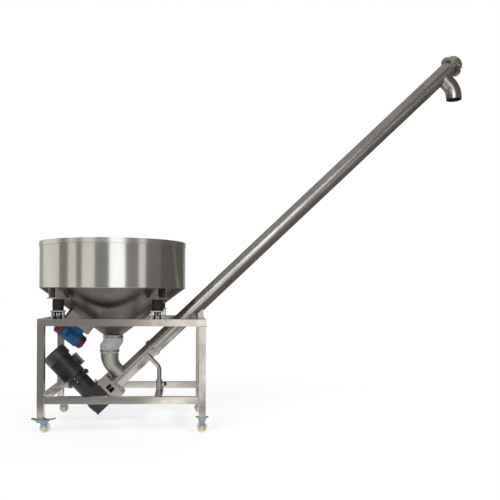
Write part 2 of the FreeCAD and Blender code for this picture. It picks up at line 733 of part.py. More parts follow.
def build_tubes():
    """Inlet section with its elbow, the long tube, and its welded head section with the spout."""
    inlet_length = "joint_at + socket_length"
    barrel = rod(INLET_RADIUS, inlet_length, axis="x")
    flange = rod("inlet_flange", "inlet_flange_plate", axis="x")
    bore = rod(INLET_BORE, f"2 * ({inlet_length})", "-10", "0", "0", "x")
    mouth = rod("elbow_radius - conveyor_wall", "elbow_drop", ELBOW_AT)
    tube_node("inlet_tube", cut(join(barrel, flange), bore, mouth))
    outside = place(flared_elbow("0"), ELBOW_AT)
    inside = place(flared_elbow("conveyor_wall"), ELBOW_AT)
    trunk = rod(INLET_RADIUS, inlet_length, axis="x")
    tube_node("inlet_elbow", cut(outside, inside, trunk))
    head_at = "(tube_end_at - head_length)"
    long_bore = rod("conveyor_radius - conveyor_wall", "2 * tube_end_at", "0", axis="x")
    long_barrel = rod("conveyor_radius", f"{head_at} - joint_at", "joint_at", axis="x")
    tube_node("conveyor_tube", cut(long_barrel, long_bore))
    head_bore = rod("conveyor_radius - conveyor_wall", "2 * tube_end_at", "0", axis="x")
    head_barrel = rod("conveyor_radius", "head_length", head_at, axis="x")
    ferrule = rod("ferrule_radius", "ferrule", "tube_end_at - ferrule", axis="x")
    outlet = place(rod("spout_radius - conveyor_wall", "spout_drop"), "spout_at", "0", "-spout_drop")
    tube_node("conveyor_head", cut(join(head_barrel, ferrule), head_bore, outlet))
    spout = place(bent_pipe("spout_radius", "spout_drop", "spout_bend", "spout_lip"), "spout_at")
    hollow = place(bent_pipe("(spout_radius - conveyor_wall)", "spout_drop", "spout_bend", "spout_lip"),
                   "spout_at")
    long_trunk = rod("conveyor_radius", "tube_end_at - joint_at", "joint_at", axis="x")
    tube_node("discharge_spout", cut(spout, hollow, long_trunk))


def eared_band(outer, width, *hollow):
    """A split band about Z with two ears on its front and a bolt hole across them, along X."""
    reach = f"({outer} + ear_reach)"
    body = rod(outer, width)
    ears = block("ear_gap + 2 * ear", f"{reach}", width, "0", f"-{reach} / 2", f"({width}) / 2")
    slot = block("ear_gap", f"{reach}", width, "0", f"-{reach} / 2", f"({width}) / 2")
    hole = rod("ear_bolt + running_gap", "2 * ear_reach + ear_gap", "-ear_reach - ear_gap / 2",
               f"-{outer} - ear_reach / 2", f"({width}) / 2", "x")
    return cut(join(body, ears), slot, hole, *hollow)


def ear_bolt(tail="0", nut=True):
    """A hexagon bolt across the ears, along X from its head's outer face, with its nut or a bare tail."""
    grip = "(ear_gap + 2 * ear)"
    length = f"(2 * bolt_head_height + {grip} + {tail})"
    end = [("bolt_head", f"bolt_head_height + {grip}"), ("bolt_head", length)] if nut else []
    shank = f"bolt_head_height + {grip}" if nut else length
    return turned(("0", "0"), ("bolt_head", "0"), ("bolt_head", "bolt_head_height"),
                  ("ear_bolt", "bolt_head_height"), ("ear_bolt", shank), *end, ("0", length))


COLLAR_OUTER = "(conveyor_radius + collar_band)"
CLAMP_OUTER = "(ferrule_radius + clamp_band)"
CLAMP_WIDTH = "(2 * ferrule + 2 * clamp_lip)"
CLAMP_AT = "(tube_end_at - ferrule - clamp_lip)"


def build_bands():
    """The collar that grips the socket joint, the clamp round the end ferrules, and their bolts."""
    tube = rod("conveyor_radius", "collar_width")
    coaxial(eared_band(COLLAR_OUTER, "collar_width", tube), "joint_at", name="joint_collar")
    groove = rod("ferrule_radius + weld_gap", "2 * ferrule", "0", "0", "clamp_lip")
    neck = rod("conveyor_radius + clamp_band", CLAMP_WIDTH)
    coaxial(eared_band(CLAMP_OUTER, CLAMP_WIDTH, groove, neck), CLAMP_AT, name="end_clamp")
    head = "(ear_gap / 2 + ear + bolt_head_height)"
    bolts = []
    for outer, at, nut in ((COLLAR_OUTER, "joint_at + collar_width / 2", True),
                           (CLAMP_OUTER, f"{CLAMP_AT} + {CLAMP_WIDTH} / 2", False)):
        bolt = ear_bolt("0" if nut else "clamp_bolt_tail", nut)
        x, z = on_tube(at, head)
        bolts.append(place(bolt, x, f"-{outer} - ear_reach / 2", z, "y", "180 - incline"))
    node("clamp_bolts", group(*bolts))


def build_wing_nut():
    """Wing nut on the end clamp's bolt, on the lower side."""
    hub = turned(("ear_bolt + running_gap", "0"), ("bolt_head + 1", "0"), ("bolt_head", "wing_nut_length"),
                 ("ear_bolt + running_gap", "wing_nut_length"))
    root = "bolt_head * 0.8"
    wings = [plate("wing_plate", (f"{side} * {root}", "2"), (f"{side} * {root}", "wing_nut_length"),
                   (f"{side} * wing_span / 2", "wing_nut_length + 12"), (f"{side} * wing_span / 2", "10"))
             for side in SIDES]
    hole = rod("ear_bolt + running_gap", "3 * wing_nut_length", "0", "0", "-wing_nut_length")
    item = cut(join(hub, *wings), hole)
    x, z = on_tube(f"{CLAMP_AT} + {CLAMP_WIDTH} / 2", "-(ear_gap / 2 + ear + swivel_gap)")
    node("wing_nut", item, x, f"-{CLAMP_OUTER} - ear_reach / 2", z, "y", "180 - incline")


def build_sleeve():
    """Flexible sleeve from the hopper's neck to the elbow, with a worm-drive clamp on each cuff."""
    top_inner = "(outlet_radius + socket_gap)"
    low_inner = "(elbow_mouth + socket_gap)"
    skins = []
    for extra in ("sleeve_wall", "0"):
        stations = (("inlet_x", f"{low_inner} + {extra}", ELBOW_TOP_Z),
                    ("(inlet_x + hopper_x) / 2", f"({top_inner} + {low_inner}) / 2 + sleeve_bulge + {extra}",
                     f"({ELBOW_TOP_Z} + {OUTLET_Z}) / 2"),
                    ("hopper_x", f"{top_inner} + {extra}", OUTLET_Z))
        circles = []
        for x, radius, z in stations:
            circle = doc.addObject("Part::Circle", "station")
            tie(circle, Radius=radius)
            circles.append(place(circle, x, "0", z))
        loft = doc.addObject("Part::Loft", "loft")
        loft.Sections = circles
        loft.Solid = True
        low_cuff = rod(f"{low_inner} + {extra}", "sleeve_cuff", "inlet_x", "0", f"{ELBOW_TOP_Z} - sleeve_cuff")
        top_cuff = rod(f"{top_inner} + {extra}", "sleeve_cuff - 3", "hopper_x", "0", OUTLET_Z)
        skins.append(join(loft, low_cuff, top_cuff))
    node("flexible_sleeve", cut(*skins))
    for name, inner, x, z in (
            ("sleeve_clamp_upper", f"({top_inner} + sleeve_wall + socket_gap)", "hopper_x",
             f"{OUTLET_Z} + (sleeve_cuff - hose_clamp_width) / 2"),
            ("sleeve_clamp_lower", f"({low_inner} + sleeve_wall + socket_gap)", "inlet_x",
             f"{ELBOW_TOP_Z} - (sleeve_cuff + hose_clamp_width) / 2")):
        outer = f"({inner} + hose_clamp)"
        band = join(rod(outer, "hose_clamp_width"),
                    block("worm_length", "2 * worm_rise", "hose_clamp_width + hose_clamp", "0",
                          f"-{outer} - worm_rise + hose_clamp", "hose_clamp_width / 2"),
                    rod("worm_radius", "worm_screw", "worm_length / 2 - hose_clamp - 1",
                        f"-{outer} - worm_rise + 2", "hose_clamp_width / 2", "x"))
        node(name, cut(band, rod(inner, "3 * hose_clamp_width", "0", "0", "-hose_clamp_width")), x, "0", z)


def build_end_cap():
    """Domed cap on the tube's upper end, with the carrier of the auger's end bearing inside it."""
    carrier = "(bearing_radius + carrier_wall)"
    shell = "(cap_radius - cap_wall)"
    pocket = "(cap_length - bearing_width)"
    floor = "(cap_length - carrier_wall - 2)"
    cap = turned(("bearing_radius", "2"), (carrier, "2"), (carrier, pocket), (shell, pocket), (shell, "0"),
                 ("ferrule_radius", "0"), ("ferrule_radius", "ferrule"), ("cap_radius", "ferrule"),
                 ("cap_radius", "cap_length"), ("cap_radius - bearing_width", "cap_length + cap_dome - 4"),
                 ("0", "cap_length + cap_dome"), ("0", floor), ("bearing_radius", floor))
    coaxial(cap, "tube_end_at", name="tube_end_cap")


# Auger with its shafts, the lantern, the gearbox and the drive motor

MOTOR_AT = "(-lantern_length - motor_set_back)"
GEAR_SHAFT_END = "(-lantern_plate - coupling_length / 2 - coupling_gap)"
PIPE_END = "(tube_end_at - 20)"


def auger_flight():
    """Flight in one-turn sections, end to end: two helices, a ruled face between them, thickened."""
    pitch = size("flight_pitch")
    turn_length = pitch - size("weld_gap")
    bore = size("conveyor_radius") - 2 * size("conveyor_wall") - size("socket_gap")
    length = size("tube_end_at") - size("stub_seat") - size("flight_start") - size("flight_sheet")
    inner = Part.makeHelix(pitch, turn_length, size("pipe_radius") + size("weld_gap"))
    outer = Part.makeHelix(pitch, turn_length, bore - size("flight_gap"))
    section = Part.makeRuledSurface(inner.Edges[0], outer.Edges[0]).extrude(
        FreeCAD.Vector(0, 0, size("flight_sheet")))
    item = doc.addObject("Part::Feature", "flight")
    item.Shape = Part.makeCompound([section.translated(FreeCAD.Vector(0, 0, pitch * turn))
                                    for turn in range(int(length // pitch))])
    coaxial(item, "flight_start", name="auger_flight")


def build_auger():
    """Pipe with a stub shaft in each end, its flight, the coupling, and all the bearings."""
    plug = "(pipe_radius - pipe_wall)"
    pipe = ring(plug, "pipe_radius", f"{PIPE_END} - pipe_start")
    low_stub = turned(("0", "0"), ("shaft_radius", "0"), ("shaft_radius", f"pipe_start - {GEAR_SHAFT_END}"),
                      (plug, f"pipe_start - {GEAR_SHAFT_END}"),
                      (plug, f"pipe_start - {GEAR_SHAFT_END} + stub_seat"),
                      ("0", f"pipe_start - {GEAR_SHAFT_END} + stub_seat"))
    top_stub = turned(("0", "0"), (plug, "0"), (plug, "stub_seat"), ("shaft_radius", "stub_seat"),
                      ("shaft_radius", "stub_seat + top_stub"), ("0", "stub_seat + top_stub"))
    coaxial(pipe, "pipe_start")
    coaxial(low_stub, GEAR_SHAFT_END)
    coaxial(top_stub, f"{PIPE_END} - stub_seat")
    node("auger_shaft", group(pipe, low_stub, top_stub))
    auger_flight()
    coupling = ring("shaft_radius + running_gap", "coupling_radius", "coupling_length")
    coaxial(coupling, "-lantern_plate - coupling_gap - coupling_length", name="shaft_coupling")
    bearings = []
    for at in ("-(lantern_plate + bearing_width) / 2", "tube_end_at + 4"):
        bearings.append(coaxial(ring("shaft_radius + running_gap", "bearing_radius", "bearing_width"), at))
    for up in ("motor_face + motor_flange_plate", f"{MOTOR_TAIL} - bearing_width"):
        x, z = on_tube(MOTOR_AT, up)
        race = ring("motor_shaft + running_gap", "bearing_radius", "bearing_width")
        bearings.append(place(race, x, "0", z, "y", "-incline"))
    node("shaft_bearings", group(*bearings))


def build_lantern():
    """Open square housing between the tube's flange and the gearbox, with a window in each side."""
    middle = "-lantern_length / 2"
    shell = block("lantern_length", "lantern_side", "lantern_side", middle)
    room = block("lantern_length - 2 * lantern_plate", "lantern_side - 2 * lantern_wall",
                 "lantern_side - 2 * lantern_wall", middle)
    windows = [block("window_length", "2 * lantern_side", "window_height", middle),
               block("window_length", "window_height", "2 * lantern_side", middle)]
    shaft_hole = rod("bearing_radius", "2 * lantern_length", "-1.5 * lantern_length", axis="x")
    tube_node("lantern_housing", cut(shell, room, *windows, shaft_hole))
    off = "(inlet_flange * 0.6)"
    bolts = [rod("bolt_head", "bolt_head_height", "inlet_flange_plate", f"{sy} * {off}", f"{sz} * {off}", "x")
             for sy in SIDES for sz in SIDES]
    tube_node("lantern_bolts", group(*bolts))


def build_gearbox():
    """Gear case with a neck for the motor, its end cover, and the crown wheel on its output shaft."""
    below, above = "gearbox_below", "gearbox_above"
    centre_x = "-lantern_length - gearbox_length / 2"
    centre_z = f"({above} - {below}) / 2"
    case = block("gearbox_length", "2 * gearbox_half_width", f"{above} + {below}", centre_x, "0", centre_z)
    neck = rod("gearbox_neck", f"motor_face - {above} + 20", MOTOR_AT, "0", f"{above} - 20")
    head = rod("motor_flange", "motor_flange_plate", MOTOR_AT, "0", "motor_face - motor_flange_plate")
    room = block("gearbox_length - 2 * gearbox_wall", "2 * gearbox_half_width - 2 * gearbox_wall",
                 f"{above} + {below} - 2 * gearbox_wall", centre_x, "0", centre_z)
    neck_bore = rod("gearbox_neck - 3 * gearbox_wall", "motor_face", MOTOR_AT)
    shaft_hole = rod("shaft_radius + 1", "60", "-lantern_length - 30", axis="x")
    back_hole = rod("gearbox_half_width - 20", "60", f"-lantern_length - gearbox_length - 30", axis="x")
    tube_node("gearbox_housing", cut(join(case, neck, head), room, neck_bore, shaft_hole, back_hole))
    lid = "(gearbox_half_width - 6)"
    cover = turned(("0", "0"), (f"{lid} - 4", "0"), (lid, "4"), (lid, "gearbox_lid"), ("0", "gearbox_lid"))
    coaxial(cover, "-lantern_length - gearbox_length - gearbox_lid", name="gearbox_cover")
    step = "crown_inner / gear_ratio + gear_gap"
    rim = "crown_radius / gear_ratio + gear_gap"
    back = f"crown_tail + {step} + crown_thickness"
    end = f"({GEAR_SHAFT_END} - coupling_gap - {MOTOR_AT} + crown_tail)"
    crown = turned(("0", "0"), ("shaft_radius", "0"), ("shaft_radius", f"crown_tail + {step}"),
                   ("crown_inner", f"crown_tail + {step}"), ("crown_radius", f"crown_tail + {rim}"),
                   ("crown_radius", back), ("shaft_radius + 10", back), ("shaft_radius + 10", f"{back} + 14"),
                   ("shaft_radius", f"{back} + 14"), ("shaft_radius", end), ("0", end))
    coaxial(crown, f"{MOTOR_AT} - crown_tail", name="crown_wheel_shaft")


MOTOR_BODY = "(motor_face + motor_bell)"
MOTOR_TAIL = "(motor_face + motor_bell + motor_barrel_length)"


def motor_node(name, item, up):
    """A piece of the drive motor, drawn about Z and set on the motor's axis."""
    x, z = on_tube(MOTOR_AT, up)
    node(name, item, x, "0", z, "y", "-incline")


def build_motor():
    """Flanged end shield, finned barrel, fan cover, terminal box, and the rotor with its fan."""
    bore = "(motor_barrel - motor_wall)"
    shield = turned(("bearing_radius", "0"), ("motor_flange", "0"), ("motor_flange", "motor_flange_plate"),
                    ("motor_barrel - 4", "motor_flange_plate + 2"), ("motor_barrel", "motor_bell"),
                    (bore, "motor_bell"), (bore, "motor_flange_plate + bearing_width"),
                    ("bearing_radius", "motor_flange_plate + bearing_width"))
    motor_node("motor_end_shield", shield, "motor_face")
    barrel = turned((bore, "0"), ("motor_barrel", "0"), ("motor_barrel", "motor_barrel_length"),
                    ("bearing_radius", "motor_barrel_length"),
                    ("bearing_radius", "motor_barrel_length - bearing_width"),
                    (bore, "motor_barrel_length - bearing_width"))
    count = int(size("fin_count"))
    fins = []
    for index in range(count):
        angle = 360 * (index + 0.5) / count
        if math.cos(math.radians(angle)) > 0.8:
            continue
        fin = block("fin_height + 2", "fin_sheet", "motor_barrel_length - 12",
                    "motor_barrel + fin_height / 2 - 1", "0", "motor_barrel_length / 2")
        fins.append(place(group(fin), "0", "0", "0", "z", f"360 * ({index} + 0.5) / fin_count"))
    motor_node("motor_frame", join(barrel, *fins), MOTOR_BODY)
    skin = "(fan_cover_radius - fan_cover_sheet)"
    cover = turned(("bearing_radius", "fan_cover_length - fan_cover_sheet"),
                   (f"{skin} - 12", "fan_cover_length - fan_cover_sheet"), (skin, "fan_cover_length - 14"),
                   (skin, "0"), ("fan_cover_radius", "0"), ("fan_cover_radius", "fan_cover_length - 14"),
                   (f"{skin} - 10", "fan_cover_length"), ("bearing_radius", "fan_cover_length"))
    tabs = [block("fan_cover_radius - motor_barrel", "16", "fan_cover_lap",
                  f"{side} * (fan_cover_radius + motor_barrel) / 2", "0", "fan_cover_lap / 2") for side in SIDES]
    motor_node("motor_fan_cover", join(cover, *tabs), f"{MOTOR_TAIL} - fan_cover_lap")
    box_z = "(motor_barrel_length / 2 - 10)"
    lid = block("terminal_box_height", "terminal_box_width", "terminal_box_length",
                "motor_barrel + terminal_box_height / 2 + 4", "0", box_z)
    box_foot = block("30", "terminal_box_width - 24", "terminal_box_length - 24", "motor_barrel - 5", "0",
                     box_z)
    seat = rod("motor_barrel", "2 * motor_barrel_length", "0", "0", "-motor_barrel_length / 2")
    motor_node("motor_terminal_box", cut(join(lid, box_foot), seat), MOTOR_BODY)
    tip = "crown_inner / gear_ratio"
    heel = "crown_radius / gear_ratio"
    core = f"({MOTOR_BODY} - crown_inner + 30)"
    tail = f"({MOTOR_TAIL} - crown_inner + fan_cover_length / 2)"
    rotor = turned(("0", "0"), (tip, "0"), (heel, "crown_radius - crown_inner"),
                   ("motor_shaft", "crown_radius - crown_inner + 10"), ("motor_shaft", core),
                   ("rotor_radius", core), ("rotor_radius", f"{core} + rotor_length"),
                   ("motor_shaft", f"{core} + rotor_length"), ("motor_shaft", tail), ("0", tail))
    motor_node("motor_rotor", rotor, "crown_inner")
    hub = ring("motor_shaft + running_gap", "motor_shaft + 10", "fan_width")
    blade_reach = "(fan_radius - motor_shaft - 6)"
    blades = [place(group(block(blade_reach, "3", "fan_width", f"motor_shaft + 6 + {blade_reach} / 2", "0",
                                "fan_width / 2")), "0", "0", "0", "z", str(angle))
              for angle in range(0, 360, 60)]
    disc = ring("motor_shaft + running_gap", "fan_radius", "3")
    motor_node("motor_fan", join(hub, disc, *blades), f"{MOTOR_TAIL} + 8")


# Strut from the cross rail to the inlet section, and the saddle on the end rail

STRUT_X = "(tube_start_x + strut_at * cos(incline) + strut_drop * sin(incline))"
STRUT_BEND_Z = f"({START_Z} + strut_at * sin(incline) - strut_drop * cos(incline))"
SLEEVE_FOOT_Z = "(rail_low + square_tube)"
STRUT_END_Z = f"({SLEEVE_FOOT_Z} + strut_sleeve_length - strut_insert)"


def build_supports():
    """Bent strut, telescoping sleeve with its hand screw, and the welded saddle."""
    neck = f"({STRUT_BEND_Z} - strut_bend * tan(incline / 2) - {STRUT_END_Z})"
    bar = place(bent_pipe("strut_radius", "strut_drop", "strut_bend", neck), "strut_at", "strut_y")
    trunk = rod(INLET_RADIUS, "joint_at", axis="x")
    tube_node("strut_rod", cut(bar, trunk))
    sleeve = rod("strut_sleeve_radius", "strut_sleeve_length", STRUT_X, "strut_y", SLEEVE_FOOT_Z)
    boss = rod("screw_boss", "strut_sleeve_radius + screw_boss_length", STRUT_X, "strut_y",
               f"{SLEEVE_FOOT_Z} + screw_rise", "x")
    inside = rod("strut_radius + socket_gap", "2 * strut_sleeve_length", STRUT_X, "strut_y", SLEEVE_FOOT_Z)
    thread = rod("screw_radius + running_gap", "3 * strut_sleeve_radius", STRUT_X, "strut_y",
                 f"{SLEEVE_FOOT_Z} + screw_rise", "x")
    node("strut_sleeve", cut(join(sleeve, boss), inside, thread))
    reach = "(strut_sleeve_radius + screw_boss_length - strut_radius)"
    screw = turned(("0", "0.5"), ("screw_radius", "0.5"), ("screw_radius", f"{reach} + 2"),
                   ("knob_radius - 5", f"{reach} + 2"), ("knob_radius", f"{reach} + 6"),
                   ("knob_radius", f"{reach} + knob_length"), ("knob_radius - 5", f"{reach} + knob_length + 4"),
                   ("0", f"{reach} + knob_length + 4"))
    node("hand_screw", screw, f"{STRUT_X} + strut_radius", "strut_y", f"{SLEEVE_FOOT_Z} + screw_rise", "y", "90")
    inner = "(frame_length / 2 - square_tube + 2)"
    outer = "(frame_length / 2 - 2)"
    gussets = [place(plate("saddle_plate", (inner, "frame_top"), (outer, "frame_top"),
                           (f"{outer} - saddle_edge", f"frame_top + rail_gap + 1.25 * square_tube"),
                           (inner, "frame_top + rail_gap + square_tube / 2")),
                     "0", f"{side} * (saddle_width / 2 - saddle_plate)") for side in SIDES]
    base = block("square_tube - 4", "saddle_width", "rail_gap - 1", f"{HALF_X}", "0",
                 "frame_top + (rail_gap - 1) / 2")
    backing = plate("saddle_width - 2 * saddle_plate", (f"{outer} - saddle_plate", "frame_top"),
                    (outer, "frame_top"), (f"{outer} - saddle_edge", "frame_top + rail_gap + 1.25 * square_tube"),
                    (f"{outer} - saddle_edge - saddle_plate", "frame_top + rail_gap + 1.25 * square_tube"))
    tube = place(rod("conveyor_radius", "2 * frame_length"), "tube_start_x", "0", START_Z, "y", "90 - incline")
    node("tube_saddle", cut(join(*gussets, base, backing), tube))


build_frame()
build_casters()
build_hopper()
build_mounts()
build_vibrator()
build_tubes()
build_bands()
build_wing_nut()
build_sleeve()
build_end_cap()
build_auger()
build_lantern()
build_gearbox()
build_motor()
build_supports()
doc.recompute()

# Put the origin under the middle of the machine's whole length
ends = [item.Shape.BoundBox for item in NODES.values()]
middle = (min(box.XMin for box in ends) + max(box.XMax for box in ends)) / 2
sheet.set(f"B{list(SIZES).index('origin_x') + 1}", str(round(middle, 3)))
doc.recompute()

faults = [item.Label for item in doc.Objects if {"Invalid", "Error"} & set(item.State)]
for name, item in NODES.items():
    if item.Shape.isNull() or not item.Shape.isValid() or not item.Shape.Solids:
        faults.append(name)
if faults:
    raise SystemExit(f"these did not build: {faults}")
for name, item in NODES.items():
    item.Shape.exportStep(f"parts/{name}.step")
print(len(NODES), "sub-parts, origin at", round(middle, 3), "from the frame's middle")
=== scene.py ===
# %% [markdown]
# # A mobile screw conveyor
# A vibrated hopper stands on a castered frame of square tube. A long pipe with a turning auger
# inside lifts the powder to a spout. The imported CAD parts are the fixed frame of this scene: they
# keep their shapes and get real finishes, and the small things that make a machine look built,
# such as screws, weld beads, clamps and a sewn sleeve, are modelled around them.

# %% Load the CAD parts
import json
import math

import bmesh
import bpy
from mathutils import Matrix, Vector, noise


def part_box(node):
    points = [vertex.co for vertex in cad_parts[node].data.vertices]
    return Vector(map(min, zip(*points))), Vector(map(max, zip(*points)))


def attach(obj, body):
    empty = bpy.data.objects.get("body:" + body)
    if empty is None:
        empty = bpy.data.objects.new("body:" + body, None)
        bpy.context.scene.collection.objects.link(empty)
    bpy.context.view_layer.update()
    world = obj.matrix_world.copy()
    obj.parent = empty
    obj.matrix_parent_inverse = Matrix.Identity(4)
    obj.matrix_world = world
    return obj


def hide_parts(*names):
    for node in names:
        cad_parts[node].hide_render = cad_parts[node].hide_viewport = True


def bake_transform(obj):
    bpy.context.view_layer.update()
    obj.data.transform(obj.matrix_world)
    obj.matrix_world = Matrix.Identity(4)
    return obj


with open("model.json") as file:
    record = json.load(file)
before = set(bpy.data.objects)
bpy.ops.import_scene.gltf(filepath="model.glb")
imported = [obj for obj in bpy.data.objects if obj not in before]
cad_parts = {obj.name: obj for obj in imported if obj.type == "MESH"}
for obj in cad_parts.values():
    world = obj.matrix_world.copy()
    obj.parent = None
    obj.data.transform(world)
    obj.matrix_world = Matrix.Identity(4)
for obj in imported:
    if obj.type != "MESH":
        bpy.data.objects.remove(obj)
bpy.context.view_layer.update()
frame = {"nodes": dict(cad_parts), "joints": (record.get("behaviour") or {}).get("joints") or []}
nodes = frame["nodes"]
joints = {joint["name"]: joint for joint in frame["joints"]}
scene = bpy.context.scene
print("CAD nodes:", len(nodes), "joints:", len(joints))

# %% [markdown]
# ## Places on the machine
# Everything is in metres. The frame's joints say where each shaft is and which way it points, so
# a screw on the motor or a nut on an axle takes its place from the joint it belongs to.

# %% Frame middle, tube axis and a matrix that aims a piece
MM = 0.001
post_low, post_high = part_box("frame_posts")
FRAME_X = (post_low.x + post_high.x) / 2
TUBE_START = Vector(joints["auger_spin"]["pos_m"])
ALONG_TUBE = Vector(joints["auger_spin"]["axis"]).normalized()
ABOVE_TUBE = Vector((-ALONG_TUBE.z, 0, ALONG_TUBE.x))


def on_tube(along, above=0.0, across=0.0):
    """A point from millimetres along the conveyor tube, above its axis and across it (+Y)."""
    return TUBE_START + (ALONG_TUBE * along + ABOVE_TUBE * above) * MM + Vector((0, across * MM, 0))


def aim(point, direction, towards=(0, 0, 1)):
    """Puts a piece that was made along +Z at a point, with +Z in a direction and +X near another."""
    z = Vector(direction).normalized()
    x = Vector(towards) - z * Vector(towards).dot(z)
    if x.length < 1e-6:
        x = z.orthogonal()
    x.normalize()
    turn = Matrix((x, z.cross(x), z)).transposed().to_4x4()
    return Matrix.Translation(Vector(point)) @ turn


print("frame middle at x =", round(FRAME_X, 4), "tube starts at", [round(v, 4) for v in TUBE_START])

# %% [markdown]
# ## The camera
# The photograph was taken level, at about chest height and almost square to the long side. Its
# picture is cropped off-centre, so the lens is shifted a little.

# %% Camera
PHOTO_WIDTH = 500
FOCAL_PIXELS = 611.3
CENTRE_PIXELS = (197.0, 290.7)
CAMERA_PLACE = (0.4049, -4.7555, 1.0158)
CAMERA_PAN = math.radians(1.70)
CAMERA_ROLL = math.radians(0.24)

camera = bpy.data.objects.new("photo_camera", bpy.data.cameras.new("photo_camera"))
scene.collection.objects.link(camera)
camera.location = Vector(CAMERA_PLACE) + Vector((FRAME_X, 0, 0))
camera.rotation_mode = "XYZ"
level = Matrix.Rotation(-CAMERA_PAN, 3, "Z") @ Matrix.Rotation(math.radians(90), 3, "X")
camera.rotation_euler = (level @ Matrix.Rotation(CAMERA_ROLL, 3, "Z")).to_euler()
camera.data.lens = FOCAL_PIXELS / PHOTO_WIDTH * camera.data.sensor_width
camera.data.shift_x = 0.5 - CENTRE_PIXELS[0] / PHOTO_WIDTH
camera.data.shift_y = CENTRE_PIXELS[1] / PHOTO_WIDTH - 0.5
scene.camera = camera
print("lens", round(camera.data.lens, 1), "mm, shift", round(camera.data.shift_x, 3))

# %% [markdown]
# ## How the materials are made
# Colours are written as sRGB hex values, the way a paint card gives them, and one function turns
# them to linear light. Another adds a node with its settings and links.

# %% Colour and node helpers
def linear(hex_colour):
    """Linear RGBA from an sRGB hex value such as "8a8078"."""
    channels = [int(hex_colour[i : i + 2], 16) / 255 for i in (0, 2, 4)]
    return [c / 12.92 if c <= 0.04045 else ((c + 0.055) / 1.055) ** 2.4 for c in channels] + [1.0]


def add(tree, kind, settings=None, **links):
    """Adds a node and fills its inputs, by name or as i0, i1, with a value or another socket."""
    node = tree.nodes.new("ShaderNode" + kind)
    for name, value in (settings or {}).items():
        setattr(node, name, value)
    for name, value in links.items():
        numbered = name[0] == "i" and name[1:].isdigit()
        socket = node.inputs[int(name[1:]) if numbered else name.replace("_", " ")]
        if isinstance(value, bpy.types.NodeSocket):
            tree.links.new(value, socket)
        else:
            socket.default_value = value
    return node


def new_material(name, colour, metallic, roughness, **settings):
    """A material and its main shader, with the values that are the same all over."""
    material = bpy.data.materials.new(name)
    material.use_nodes = True
    material.diffuse_color = linear(colour)
    shader = material.node_tree.nodes["Principled BSDF"]
    shader.inputs["Base Color"].default_value = linear(colour)
    shader.inputs["Metallic"].default_value = metallic
    shader.inputs["Roughness"].default_value = roughness
    for key, value in settings.items():
        shader.inputs[key.replace("_", " ")].default_value = value
    return material, material.node_tree, shader


def stops(ramp, *places):
    """Fills a colour ramp: (position, hex colour) pairs, from low to high."""
    elements = ramp.color_ramp.elements
    while len(elements) < len(places):
        elements.new(0.5)
    for element, (position, colour) in zip(elements, places):
        element.position = position
        element.color = linear(colour)
    return ramp.outputs["Color"]


# %% [markdown]
# ## Brushed stainless steel
# The frame, pipes and plates are stainless steel, rubbed with an abrasive belt. The belt leaves
# fine lines along each tube, which stretch every highlight across them. Noise squeezed along one
# axis gives the lines. The real ones are about 0.1 mm apart, too fine to show from 5 m away, so
# they are drawn about 2 mm apart. A second, slow noise is the grey cloudiness of handled steel.

# %% Brushed steel in any direction
def brushed_steel(name, colour, shade, roughness, turn=(0, 0, 0), along=(0.02, 1, 1), lines_mm=2.0,
                  depth=0.05, clouds_mm=140):
    """Stainless steel with belt lines. along squeezes the noise, so the lines run where it is small."""
    material, tree, shader = new_material(name, colour, 1.0, roughness)
    place = add(tree, "TexCoord").outputs["Object"]
    turned = add(tree, "Mapping", {"vector_type": "TEXTURE"}, Vector=place, Rotation=turn).outputs["Vector"]
    squeezed = add(tree, "Mapping", Vector=turned, Scale=along).outputs["Vector"]
    lines = add(tree, "TexNoise", Vector=squeezed, Scale=1000 / lines_mm, Detail=3.0, Roughness=0.65)
    clouds = add(tree, "TexNoise", Vector=turned, Scale=1000 / clouds_mm, Detail=5.0, Roughness=0.6)
    both = add(tree, "Math", {"operation": "MULTIPLY_ADD"}, i0=lines.outputs["Fac"], i1=0.35,
               i2=add(tree, "Math", {"operation": "MULTIPLY"}, i0=clouds.outputs["Fac"], i1=0.65).outputs[0])
    tint = stops(add(tree, "ValToRGB", Fac=both.outputs[0]), (0.36, shade), (0.64, colour))
    tree.links.new(tint, shader.inputs["Base Color"])
    rough = add(tree, "MapRange", Value=both.outputs[0], From_Min=0.3, From_Max=0.7,
                To_Min=roughness + 0.08, To_Max=roughness - 0.06)
    tree.links.new(rough.outputs["Result"], shader.inputs["Roughness"])
    bump = add(tree, "Bump", Height=lines.outputs["Fac"], Strength=depth, Distance=0.0008)
    tree.links.new(bump.outputs["Normal"], shader.inputs["Normal"])
    return material


TUBE_TILT = math.atan2(ALONG_TUBE.z, ALONG_TUBE.x)
frame_lengthwise = brushed_steel("square_tube_brushed_along_x", "e2dcd4", "c8c0b7", 0.20)
frame_upright = brushed_steel("square_tube_brushed_along_z", "ddd6ce", "c0b9b0", 0.21, along=(1, 1, 0.02))
frame_crosswise = brushed_steel("square_tube_brushed_along_y", "d9d2ca", "b5ada5", 0.26, along=(1, 0.02, 1))
pipe_steel = brushed_steel("pipe_brushed_along_its_length", "d0ccc6", "b4afa9", 0.29,
                           turn=(0, -TUBE_TILT, 0), clouds_mm=200)
elbow_steel = brushed_steel("elbow_satin_blasted", "d6d2cc", "bfbab4", 0.50, along=(1, 1, 1), lines_mm=1.2)
plate_steel = brushed_steel("steel_plate_ground", "d8d3cb", "b5aea5", 0.34, along=(1, 0.1, 1))
# The lugs' satin finish is real. Their colour, lighter than the other plates, is painted light that brightens
# the shaded hollow between their ribs.
lug_steel_painted_light = brushed_steel("folded_plate_satin_painted_light", "e6e2db", "cdc7bf", 0.52, along=(1, 0.3, 1))
# The cone's colour is far darker than the drum sheet's. This is painted shade on a sheet that faces down
# towards the floor.
cone_steel_painted_shade = brushed_steel("cone_sheet_painted_shade", "837e76", "625d56", 0.28, along=(1, 1, 0.15),
                           clouds_mm=260)
print("brushed steels:", [m.name for m in bpy.data.materials if "brushed" in m.name])

